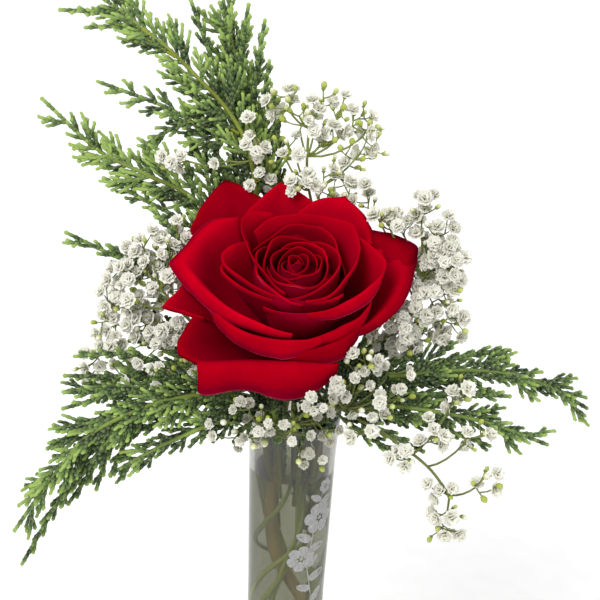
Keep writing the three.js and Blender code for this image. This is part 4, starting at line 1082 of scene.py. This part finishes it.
# A blade: a middle cord that turns to run with its line, and cords close along both of its sides
def growBlade(heap, blade, next01, light):
    at, onward, up, reach = blade["at"], blade["onward"], blade["up"], blade["reach"]
    turned = (blade["heading"] - onward) * cedarLook["turn"] * reach
    addCord(heap, at, onward, unit(np.cross(onward, up)), up, reach, 1.0, turned, light)
    s = (2.0 + 2.0 * next(next01)) / reach
    hand = 1 if next(next01) < 0.5 else -1
    while s < 1 - cedarLook["bareTip"] / reach:
        foot = at + onward * (s * reach) + turned * s * s
        ahead = unit(onward * reach + turned * 2 * s)
        side = unit(np.cross(ahead, up)) * hand
        angle = math.radians(cedarLook["sideAngle"] + 10 * (next(next01) - 0.5))
        rise = next(next01) - 0.5
        way = unit(ahead * math.cos(angle) + side * math.sin(angle) + up * 0.36 * rise)
        share = min(0.5, (1 - s) * 0.62)  # side cords are shorter near the tip
        grow = max(cedarLook["shortest"], share * reach * (0.75 + 0.35 * next(next01)))
        if isFree(foot + way * grow, cedarLook["cordRoom"]):
            bent = (ahead - side) * 0.1 * grow
            across, width = unit(np.cross(way, up)), cedarLook["sideWidth"]
            # cords tilted back are darker and cords tilted up lighter, painted shade and light
            addCord(heap, foot, way, across, up, grow, width, bent, light + 0.5 * rise)
        hand = -hand
        s += cedarLook["sideStep"] / reach * (0.8 + 0.4 * next(next01))


def placesOn(blade, *shares):
    return [blade["at"] + blade["onward"] * blade["reach"] * share for share in shares]


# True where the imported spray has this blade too
def isInPart(node, blade):
    return all(gapTo(node, place) < cedarLook["sameAs"] for place in placesOn(blade, 0.5, 0.8))


def isOpen(blade):
    return all(isFree(place, cedarLook["bladeRoom"]) for place in placesOn(blade, 0.5, 0.8, 1))


# Scales laid end to end along the outer part of a line, up to its tip
def coverLine(heap, line, face, low, light):
    count = max(2, round(lengthOf(line) * (1 - low) / cedarLook["coverStep"]))
    for i in range(count):
        t = blend(low, 1, i / count)
        at, _, look, sideways = frameAt(line, face, t)
        gap = (along(line, min(1, t + (1 - low) / count)) - at) * 1.25
        reach, width = np.linalg.norm(gap), 1.35 - 0.35 * t
        # darker low on the line and lighter at its tip, painted shade and light
        addCord(heap, at, unit(gap), sideways, look, reach, width, np.zeros(3), light + 0.35 * t)


def mainThickness(z):
    return 1.5 - 1.1 * z * z - 0.6 * max(0, 0.14 - z) / 0.14  # thin again at its foot in the vase


def twigThickness(z):
    return 0.8 - 0.5 * z


def makeCedar(spray):
    heap = newHeap()
    next01 = draws(spray["seed"])
    fine = draws(spray["seed"] + 1000)
    face, middle = spray["face"], spray["spread"]
    start, toTip, uneven = cedarLook["lightness"]
    lines = [(spray, mainLine, 0)] + ([(spray["side"], sideLine, 0)] if "side" in spray else [])
    blades = []
    for part, _, _ in lines:
        blades += [blade for blade in bladesOn(part, face, next01) if isInPart(spray["name"], blade)]
        blades += [blade for blade in moreBlades(part, face, middle, fine) if isOpen(blade)]
    for kind, (shade, step) in twigKinds.items():
        for line, *long in spray.get(kind, []):
            twig = {"line": line, "blades": lengthOf(line) / step, "long": long, "first": 0.14}
            lines.append((twig, twigLine, shade))
            grown = [blade for blade in moreBlades(twig, face, middle, fine) if isOpen(blade)]
            blades += [dict(blade, shade=blade["shade"] + shade) for blade in grown]
    blades += [blade for blade in sunkBlades(spray, fine) if isOpen(blade)]
    for blade in blades:
        # painted shade and light: darker at a line's foot and on blades lying behind
        light = start + toTip * blade["t"] + uneven * (next(fine) - 0.5) + blade["shade"] + spray["shade"]
        growBlade(heap, blade, fine, light)
    for part, kind, shade in lines:
        thick = mainThickness if kind is mainLine else twigThickness
        # paler yellow at the main line's foot in the vase: painted light
        foot = lambda z: kind["foot"] * within01((0.16 - z) * 20)
        yellow = lambda z: within01(spray["yellow"] * (1 - 0.6 * z) + shade + foot(z))
        tone = lambda z: (0.25 + 0.2 * z, 0, yellow(z))
        addTube(heap, part["line"], thick, lineSides, kind["rings"], tone)
        coverLine(heap, part["line"], face, kind["from"], 0.2 + shade + spray["shade"])
    return heapPiece(spray["name"] + "_cords", heap, cedarScales)


for spray in cedar:
    frond = makeCedar(spray)
    handOver(frond, "cedar_green", spray["name"])
    print(frond.name, len(frond.data.polygons), "faces")

# Double florets and buds on forked stalks, sizes in millimetres
floret = {
    "radius": 4.4,
    "bud": 1.3,
    "petal": [  # outline of one small petal
        (0.86, 0.0, 0.0), (1.0, 0.32, 0.0), (0.62, 0.60, 0.05), (0.0, 0.0, -0.05), (0.62, -0.60, 0.05),
        (1.0, -0.32, 0.0),
    ],
    "petalTop": (0.60, 0, 0.14),
    "rings": [  # count, size, tilt, height and turn
        (5, 0.98, 22, -0.34, 0), (5, 0.98, 46, -0.30, 36), (3, 0.92, 70, -0.20, 10),
    ],
    "seeds": (3, 14, 25),  # one for each model of a floret
    # colour that painted shade darkens a floret towards
    "dimmest": (0.34, 0.34, 0.27, 1),
    "sameAs": 3,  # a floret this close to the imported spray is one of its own
    "petalRoom": 4,
    "apart": 5.2,
    "tries": 12,
    "longFork": 4.5,  # a longer branch forks again on its way
    "neck": 0.32,  # from a floret's middle down to its stalk, as a share of its radius
    "twigRadius": 0.62,
    "forkRadius": 0.44,
    "stalkRadius": 0.3,
    "loopRadius": 1.25,
    "loopRings": 60,
    "stemRings": 80,
    "branchFrom": 0.6,  # share of the stem above which branches leave it
    "branchStep": (0.08, 0.04),  # how far from the stem the first branch starts, and each next one more
    "hubGap": 7,  # from the middle of a cluster to its hub, at most
    "sag": 0.24,
}
# Small sprays: a stem's line, and clusters as rows of x, y, z, spread, the part's own florets and the added
# ones. Light is how pale the stalks are, dim how much a floret may darken, buds the share of buds among the
# added, climb how far under a cluster its branch starts, and toFront how far florets turn to the front.
# Dim is painted shade: florets in sprays under the bloom are darkened at random towards the dimmest colour.
breath = [
    {"name": "breath_back_right", "size": 0.93, "light": 0.75, "dim": 0.1,
     "buds": 0.72, "climb": 22, "toFront": 0.2, "seed": 5,
     "line": [(7.3, 12.6, 150), (7.3, 12.6, 206), (10, 18, 229), (10, 27, 285), (1, 30, 325), (0, 31, 352)],
     "clusters": [(-15, 32, 365, 7, 3, 5), (6, 33, 364, 6, 3, 5), (24, 33, 357, 7, 3, 6),
                  (10, 33, 347, 5, 2, 5), (24, 30, 340, 7, 2, 7), (-6, 24, 326, 5, 1, 4),
                  (20, 28, 321, 7, 2, 8), (-14, 28, 342, 6, 0, 4), (30, 28, 346, 6, 0, 5),
                  (32, 30, 352, 6, 0, 4), (-6, 30, 358, 6, 0, 4), (14, 26, 330, 7, 0, 5),
                  (-9, 31, 363, 6, 0, 6), (-8, 28, 345, 6, 0, 6), (4, 30, 356, 6, 0, 5),
                  (17, 31, 361, 6, 0, 6), (-2, 25, 327, 6, 0, 6), (9, 26, 323, 6, 0, 6),
                  (16, 27, 325, 6, 0, 5)]},
    {"name": "breath_back_left", "size": 0.9, "light": 0.6, "dim": 0.1,
     "buds": 0.5, "climb": -4, "toFront": 0.8, "seed": 9,
     "line": [(2, 7, 165), (2, 7, 206), (-4, 19, 229), (-9, 27, 268), (-12, 32, 302), (-15, 33, 322),
              (-20, 31, 338)],
     "clusters": [(-29, 29, 357, 2, 1, 0), (-26, 28, 341, 6, 3, 3), (-44, 28, 333, 2, 1, 0),
                  (-64, 27, 333, 6, 3, 2), (-21, 31, 324, 5, 2, 4)]},
    {"name": "breath_right", "size": 1.0, "light": 0.3, "dim": 0.3,
     "buds": 0.3, "climb": 10, "toFront": 0.9, "seed": 13,
     "line": [(4, 13, 108), (12, 7, 138), (13.8, 3, 162), (14.4, 0.5, 184), (14.6, 0, 206), (20, 0, 228),
              (36, 4, 250), (50, 6, 270), (58, 5, 290)],
     "clusters": [(37, 8, 316, 7, 3, 7), (54, 8, 325, 5, 2, 5), (65, 6, 311, 7, 3, 9),
                  (71, 2, 299, 7, 3, 9), (67, -2, 283, 8, 3, 10), (72, -4, 271, 6, 2, 7),
                  (53, -4, 272, 8, 3, 9), (54, -6, 258, 7, 2, 8), (57, 18, 288, 8, 2, 8),
                  (46, 10, 312, 7, 0, 6), (50, 8, 300, 6, 0, 6), (49, 6, 290, 6, 0, 6),
                  (52, 0, 280, 7, 0, 7), (49, -4, 268, 6, 0, 7), (28, 22, 322, 6, 0, 5),
                  (60, 4, 262, 7, 0, 7), (73, 0, 288, 6, 0, 5), (46, 4, 258, 7, 0, 6),
                  (36, -6, 260, 6, 0, 3), (56, 10, 304, 7, 0, 7), (60, 10, 294, 7, 0, 7),
                  (64, 8, 300, 7, 0, 6), (44, 14, 314, 5, 0, 5)]},
    {"name": "breath_left", "size": 0.95, "light": 0.5, "dim": 0.1,
     "buds": 0.35, "climb": 10, "toFront": 0.9, "seed": 17,
     "line": [(0, 9.5, 132), (-5, 7, 160), (-6.5, 5.5, 184), (-6, 5.5, 206), (-19, 4.8, 230),
              (-34, 2, 246), (-52, -1, 264), (-66, -2, 280)],
     "clusters": [(-61, 10, 302, 6, 2, 5), (-72, 8, 296, 7, 3, 8), (-84, 4, 284, 7, 3, 9),
                  (-69, 6, 281, 6, 2, 8), (-91, 0, 273, 6, 3, 8), (-76, 0, 263, 6, 2, 9),
                  (-94, -2, 260, 7, 2, 8), (-64, 0, 256, 7, 3, 8), (-85, -4, 245, 8, 2, 6),
                  (-101, -6, 242, 7, 2, 6), (-61, -24, 249, 7, 2, 6), (-60, 22, 271, 8, 2, 7),
                  (-58, 8, 292, 6, 0, 6), (-62, 4, 282, 6, 0, 6), (-60, -8, 262, 6, 0, 7),
                  (-52, -20, 246, 6, 0, 5), (-80, -4, 272, 7, 0, 7), (-72, -12, 252, 7, 0, 6),
                  (-46, -26, 240, 5, 0, 4), (-52, 14, 304, 5, 0, 4), (-86, -14, 238, 6, 0, 5),
                  (-72, 6, 273, 6, 0, 8), (-66, 8, 275, 6, 0, 6), (-78, 10, 292, 7, 0, 6),
                  (-66, 12, 292, 7, 0, 7)]},
    {"name": "breath_front", "size": 0.67, "light": 0.15, "dim": 0.8,
     "buds": 0.5, "climb": 0, "toFront": 0.9, "seed": 21,
     "loops": [[(-4, 2, 60), (-5, 2, 82), (-5, -2, 106), (-4, -3, 120), (0, -5, 134), (6, -7, 147),
                (9, -9, 160), (6, -8, 174)],
               [(-10, 2, 88), (-15, -3, 102), (-15, -7, 118), (-10, -10, 131), (-2, -10, 141),
                (6, -6, 149), (11, 0, 158), (12, 3, 170)]],
     "line": [(-7, 6, 62), (-10, 0, 74), (-8, -8, 86), (0, -11, 98), (8, -6, 108), (10, 2, 120),
              (6, 6, 130), (-1, 5.4, 137), (-9, 2, 142), (-13, -3, 149), (-11, -9, 159), (-4, -13.5, 173),
              (0, -14, 186), (0, -14.6, 206), (-1, -20, 227), (-6, -30, 230), (-12, -38, 228)],
     "clusters": [(-30, -44, 223, 5, 2, 1), (-25, -45, 243, 6, 2, 2), (-9, -48, 236, 6, 2, 2),
                  (-18, -46, 227, 6, 3, 1), (11, -48, 247, 7, 2, 4), (5, -46, 225, 8, 4, 3),
                  (16, -46, 236, 6, 0, 3), (-34, -42, 234, 5, 0, 2), (12, -42, 218, 5, 0, 3),
                  (-20, -37, 224, 6, 0, 3), (-11, -37, 226, 6, 0, 3), (-2, -39, 225, 6, 0, 3),
                  (-15, -39, 234, 5, 0, 2), (2, -38, 234, 5, 0, 2), (-25, -41, 222, 5, 0, 2),
                  (11, -38, 231, 5, 0, 2)]},
    {"name": "breath_front_right", "size": 0.8, "light": 0.15, "dim": 0.3,
     "buds": 0.45, "climb": 6, "toFront": 0.9, "seed": 25,
     "line": [(4, 11, 64), (-3, 11.5, 80), (-11, 5, 92), (-12.5, -3, 104), (-10.5, -8, 113),
              (-4, -12.5, 128), (0, -13, 143), (3, -13, 153), (6, -12.5, 166), (5.5, -12.8, 180),
              (7.3, -12.6, 206), (10.5, -18, 227), (18, -28, 234), (24, -36, 240)],
     "clusters": [(30, -38, 267, 7, 3, 5), (25, -40, 253, 6, 2, 4), (44, -42, 252, 6, 2, 3),
                  (41, -40, 240, 5, 1, 2), (26, -36, 260, 6, 0, 3), (35, -34, 262, 6, 0, 4),
                  (16, -44, 250, 5, 0, 3), (47, -30, 258, 7, 0, 3), (52, -34, 246, 6, 0, 2),
                  (22, -38, 244, 6, 0, 2), (14, -40, 256, 4, 0, 3)]},
    {"name": "breath_low_right", "size": 0.98, "light": 0.25, "dim": 0.1,
     "buds": 0.66, "climb": 0, "toFront": 0.8, "seed": 29,
     "line": [(4, -7.5, 152), (3.6, -8.5, 184), (4, -8.5, 206), (15, -15, 229), (34, -34, 231),
              (50, -44, 226), (64, -47, 216), (74, -50, 204)],
     "clusters": [(30, -48, 234, 6, 2, 2), (50, -50, 224, 6, 2, 3), (69, -49, 206, 4, 1, 4),
                  (64, -44, 231, 7, 3, 5), (85, -42, 232, 7, 2, 4), (76, -36, 250, 7, 2, 6),
                  (92, -52, 213, 6, 3, 5), (73, -52, 189, 7, 3, 7)]},
]


def petalWhite():
    material, tree, place = startMaterial("floret_white")
    mottle = noiseOn(tree, place, 400, 3)
    tone = toneOn(tree)
    white = rampOn(tree, tone["Red"], [
        (0.0, (0.38, 0.45, 0.06)), (0.24, (0.60, 0.63, 0.26)),
        (0.44, (0.80, 0.80, 0.68)), (1.0, (0.87, 0.86, 0.79)),
    ])
    soft = rampOn(tree, mottle, [(0.3, (0.88, 0.88, 0.85)), (0.6, (1, 1, 1))])
    white = mixOn(tree, "MULTIPLY", 0.8, white, soft)
    setShader(tree, {
        # painted shade: the tone's second channel darkens a floret
        "Base Color": mixOn(tree, "MULTIPLY", tone["Green"], white, floret["dimmest"]),
        "Roughness": rangeOn(tree, mottle, 0.5, 0.75),
        "Normal": bumpOn(tree, mottle, 0.15, 0.0002),
        "Subsurface Weight": 0.4,
        "Subsurface Radius": (0.002, 0.002, 0.0018),
    })
    return material


floretWhite = petalWhite()


# One small petal, dished, its root at the origin and its tip a unit away on +X
def smallPetal():
    sides = len(floret["petal"])
    bpy.ops.mesh.primitive_cone_add(vertices=sides, radius1=1, radius2=0, depth=0.3, end_fill_type="NGON")
    form = bpy.context.object
    for v in form.data.vertices:
        if v.co.z > 0:
            v.co = floret["petalTop"]
            continue
        turn = math.degrees(math.atan2(v.co.y, v.co.x))
        v.co = floret["petal"][round(turn / 360 * sides - 0.5) % sides]
    bpy.ops.object.mode_set(mode="EDIT")
    bpy.ops.mesh.select_all(action="SELECT")
    bpy.ops.mesh.normals_make_consistent(inside=False)
    bpy.ops.object.mode_set(mode="OBJECT")
    return takeShape(form)


# A double floret a unit in radius that looks along +Z: rings of petals, each steeper and shorter
def modelFloret(seed):
    next01 = draws(seed)
    petal = smallPetal()
    corners = len(petal["points"])
    points, faces, tones = [], [], []
    for count, size, tilt, high, turn in floret["rings"]:
        for k in range(count):
            a = math.radians(360 * k / count + turn + 24 * (next(next01) - 0.5))
            t = math.radians(tilt + 16 * (next(next01) - 0.5))
            s = size * (0.9 + 0.2 * next(next01))
            place = Matrix.Rotation(a, 3, "Z") @ Matrix.Rotation(-t, 3, "Y")
            faces += [tuple(len(points) * corners + n for n in face) for face in petal["faces"]]
            points.append(petal["points"] * s @ np.array(place).T + (0, 0, high))
            tones.append(toneRows(0.28 + 0.8 * petal["points"][:, 0], 0, 0))
    return {"points": np.concatenate(points), "faces": faces}, np.concatenate(tones)


# A modelled form from rows of height and radius
def plainShape(name, sides, rows):
    return takeShape(ringForm(name, sides, [(z, r, r) for z, r in rows]))


floretShapes = [modelFloret(seed) for seed in floret["seeds"]]
budShape = plainShape("bud", 6, [(-1.1, 0.3), (-0.6, 0.8), (0.1, 1), (0.85, 0.72), (1.35, 0.2)])
stalkShape = plainShape("stalk", 4, [(0, 1), (0.4, 1), (0.74, 1.1), (0.84, 2.6), (1, 3.9)])
twigShape = plainShape("twig", 5, [(0, 1), (0.25, 0.93), (0.5, 0.86), (0.75, 0.8), (1, 0.74)])


def sidesOf(way):
    side = np.cross(way, (0.0, 0.0, 1.0))
    if np.linalg.norm(side) < 0.1:
        side = np.cross(way, (1.0, 0.0, 0.0))
    side = unit(side)
    return side, np.cross(way, side)


# A stalk or twig from one place to another, bowed towards a third
def addStalk(heap, shape, start, bow, end, radius, light):
    x, y, z = shape["points"].T
    a, b = sidesOf(unit(end - start))
    points = np.outer((1 - z) ** 2, start) + np.outer(2 * z * (1 - z), bow) + np.outer(z * z, end)
    points = points + np.outer(x * radius, a) + np.outer(y * radius, b)
    addCopy(heap, shape, points, 0, toneRows(light, 0 * z, 0))


def addFloret(heap, at, facing, size, dim, next01):
    shape, tones = floretShapes[int(next(next01) * 2.999)]
    a, b = sidesOf(facing)
    turn = 2 * math.pi * next(next01)
    u = a * math.cos(turn) + b * math.sin(turn)
    points = at + shape["points"] * size @ np.array([u, np.cross(facing, u), facing])
    addCopy(heap, shape, points, 1, tones + (0, dim, 0), False)


def addBud(heap, at, facing, size, ripe):
    points = budShape["points"] * size @ np.array([*sidesOf(facing), facing])
    tones = toneRows(0.62 * ripe * ripe * (0.5 + 0.6 * budShape["points"][:, 2]), 0, 0)
    addCopy(heap, budShape, at + points, 1, tones)


# Forks from a hub out to each floret, each from the nearest fork that lies nearer the hub
def growBranches(heap, hub, placed, spray, fine, dusk):
    light = spray["light"]
    forks = [(hub, 0.0)]
    for at, facing, size in sorted(placed, key=lambda row: np.linalg.norm(row[0] - hub)):
        neck = at - facing * (size * floret["neck"] if size else floret["bud"])
        far = np.linalg.norm(neck - hub)
        near = [fork for fork in forks if fork[1] < far * 0.75]
        start = min(near, key=lambda fork: np.linalg.norm(fork[0] - neck))[0]
        gap = np.linalg.norm(neck - start)
        if gap > floret["longFork"]:
            middle = start + (neck - start) * 0.5 + (0, 0, -0.06 * gap)
            addStalk(heap, twigShape, start, (start + middle) / 2, middle, floret["forkRadius"], light)
            forks.append((middle, np.linalg.norm(middle - hub)))
            start = middle
        bow = (start + neck) / 2 - facing * 0.12 * np.linalg.norm(neck - start)
        addStalk(heap, stalkShape, start, bow, neck, floret["stalkRadius"], light + 0.1)
        if size:
            addFloret(heap, at, facing, size, spray["dim"] * next(dusk), fine)
        else:
            addBud(heap, at, facing, floret["bud"] * (0.75 + 0.6 * next(fine)), next(fine))


def faceOut(at, hub, spray):
    return unit(unit(at - hub) + (0, -spray["toFront"], 0.4))


# The part's own florets of a cluster, as rows of place, facing and size
def ownFlorets(spray, middle, spread, count, hub, next01):
    placed = []
    for i in range(count):
        turn = 2 * math.pi * (i / count + 0.25 * next(next01))
        high = 0.9 * (next(next01) - 0.5)
        away = unit(np.array([math.cos(turn), 0.75 * high - 0.3 * math.sin(turn), math.sin(turn)]))
        at = middle + away * spread * (0.75 + 0.35 * next(next01) if count > 1 else 0.1)
        size = floret["radius"] * spray["size"] * (0.9 + 0.2 * next(next01))
        if gapTo(spray["name"], at) < floret["sameAs"]:
            placed.append((at, faceOut(at, hub, spray), size))
    return placed


# One more floret, or a bud of size 0, where the cluster has room
def moreFloret(spray, middle, spread, placed, hub, fine):
    for _ in range(floret["tries"]):
        turn = 2 * math.pi * next(fine)
        up = 2 * next(fine) - 1
        flat = math.sqrt(1 - up * up)
        way = np.array([flat * math.cos(turn), 0.8 * flat * math.sin(turn), up])
        at = middle + way * (spread + 3) * (0.35 + 0.75 * next(fine))
        apart = all(np.linalg.norm(at - other[0]) > floret["apart"] for other in placed)
        if apart and isFree(at, floret["petalRoom"]):
            size = floret["radius"] * spray["size"] * (0.8 + 0.3 * next(fine))
            return [(at, faceOut(at, hub, spray), size if next(fine) > spray["buds"] else 0)]
    return []


def makeBreath(spray):
    heap = newHeap()
    next01, fine, dusk = (draws(spray["seed"] + more) for more in (0, 500, 900))
    line = spray["line"]
    submerged = sum(1 for row in line if row[2] < vase["waterTop"]) / len(line)
    wet = lambda z: within01((submerged - z) * 12)
    thick = lambda z: 0.95 - 0.3 * z + 0.45 * wet(z)
    addTube(heap, line, thick, lineSides, floret["stemRings"], lambda z: (spray["light"] * z, wet(z), 0))
    even = lambda z: floret["loopRadius"]
    for loop in spray.get("loops", []):
        addTube(heap, loop, even, lineSides, floret["loopRings"], lambda z: (0.1, 1, 0))
    rows = pathRows(line, round(len(line) * 1.7))
    free = rows[int(len(rows) * floret["branchFrom"]):]
    near, nextOne = floret["branchStep"]
    for n, (x, y, z, spread, count, more) in enumerate(spray["clusters"]):
        middle = np.array([x, y, z], float)
        above = lambda p: max(0, p[2] - middle[2] + spray["climb"])
        start = min(free, key=lambda p: np.linalg.norm(p - middle) + above(p))
        root = start + unit(middle - start) * (near + nextOne * n)
        hub = middle + (root - middle) * min(0.5, floret["hubGap"] / np.linalg.norm(middle - root))
        bow = (root + hub) / 2 + (0, 0, -floret["sag"] * np.linalg.norm(hub - root))
        addStalk(heap, twigShape, root, bow, hub, floret["twigRadius"], spray["light"] - 0.1)
        placed = ownFlorets(spray, middle, spread, count, hub, next01)
        for _ in range(more):
            placed += moreFloret(spray, middle, spread, placed, hub, fine)
        growBranches(heap, hub, placed, spray, fine, dusk)
    return heapPiece(spray["name"] + "_florets", heap, twigGreen, floretWhite)


for spray in breath:
    cloud = makeBreath(spray)
    handOver(cloud, "small_florets", spray["name"])
    print(cloud.name, len(cloud.data.polygons), "faces")

# Floor, light and camera, in metres
studio = {
    "floorSize": 30,
    "worldColour": (1.0, 1.0, 1.0, 1),
    "worldStrength": 0.62,
    "lights": [  # name, place, size and power
        ("key", (-0.9, -1.3, 1.9), (1.2, 1.2), 34),
        ("fill", (1.5, -1.0, 1.0), (1.2, 1.2), 8),
        ("back", (0.3, 1.5, 1.7), (1.6, 0.8), 16),
    ],
    "target": (0.0, -0.005, 0.2794),
    "elevation": 25,
    "distance": 0.9,
    "frameWidth": 0.282,
    "roll": 2.86,
    "sensor": 36,
    "bounces": 16,  # enough for the light to pass glass and water
}


def makeFloor():
    bpy.ops.mesh.primitive_plane_add(size=studio["floorSize"])
    floor = bpy.context.object
    floor.name = "floor"
    material, tree, place = startMaterial("floor_paper")
    fibres = noiseOn(tree, place, 60, 4)
    setShader(tree, {
        "Base Color": rampOn(tree, fibres, [(0.3, (0.93, 0.93, 0.93)), (0.7, (0.96, 0.96, 0.96))]),
        "Roughness": 0.9,
    })
    floor.data.materials.append(material)


def makeLight():
    world = bpy.data.worlds.new("studio")
    bpy.context.scene.world = world
    world.use_nodes = True
    background = world.node_tree.nodes["Background"]
    background.inputs["Color"].default_value = studio["worldColour"]
    background.inputs["Strength"].default_value = studio["worldStrength"]
    target = Vector(studio["target"])
    for name, place, size, power in studio["lights"]:
        bpy.ops.object.light_add(type="AREA", location=place)
        light = bpy.context.object
        light.name = name
        light.data.shape = "RECTANGLE"
        light.data.size, light.data.size_y = size
        light.data.energy = power
        light.rotation_euler = (Vector(place) - target).to_track_quat("Z", "Y").to_euler()


def makeCamera():
    rise = math.radians(studio["elevation"])
    roll = math.radians(studio["roll"])
    back = Vector((0, -math.cos(rise), math.sin(rise)))
    right = Vector((1, 0, 0))
    up = Vector((0, math.sin(rise), math.cos(rise)))
    across = right * math.cos(roll) + up * math.sin(roll)
    above = up * math.cos(roll) - right * math.sin(roll)
    bpy.ops.object.camera_add()
    camera = bpy.context.object
    turn = Matrix((across, above, back)).transposed().to_4x4()
    camera.matrix_world = Matrix.Translation(Vector(studio["target"]) + back * studio["distance"]) @ turn
    camera.data.sensor_width = studio["sensor"]
    camera.data.lens = studio["sensor"] * studio["distance"] / studio["frameWidth"]
    camera.data.clip_start = 0.05
    bpy.context.scene.camera = camera


makeFloor()
makeLight()
makeCamera()
scene = bpy.context.scene
scene.view_settings.view_transform = "Standard"
scene.view_settings.look = "None"
scene.cycles.transmission_bounces = studio["bounces"]
scene.cycles.max_bounces = studio["bounces"]

print("scene ready")
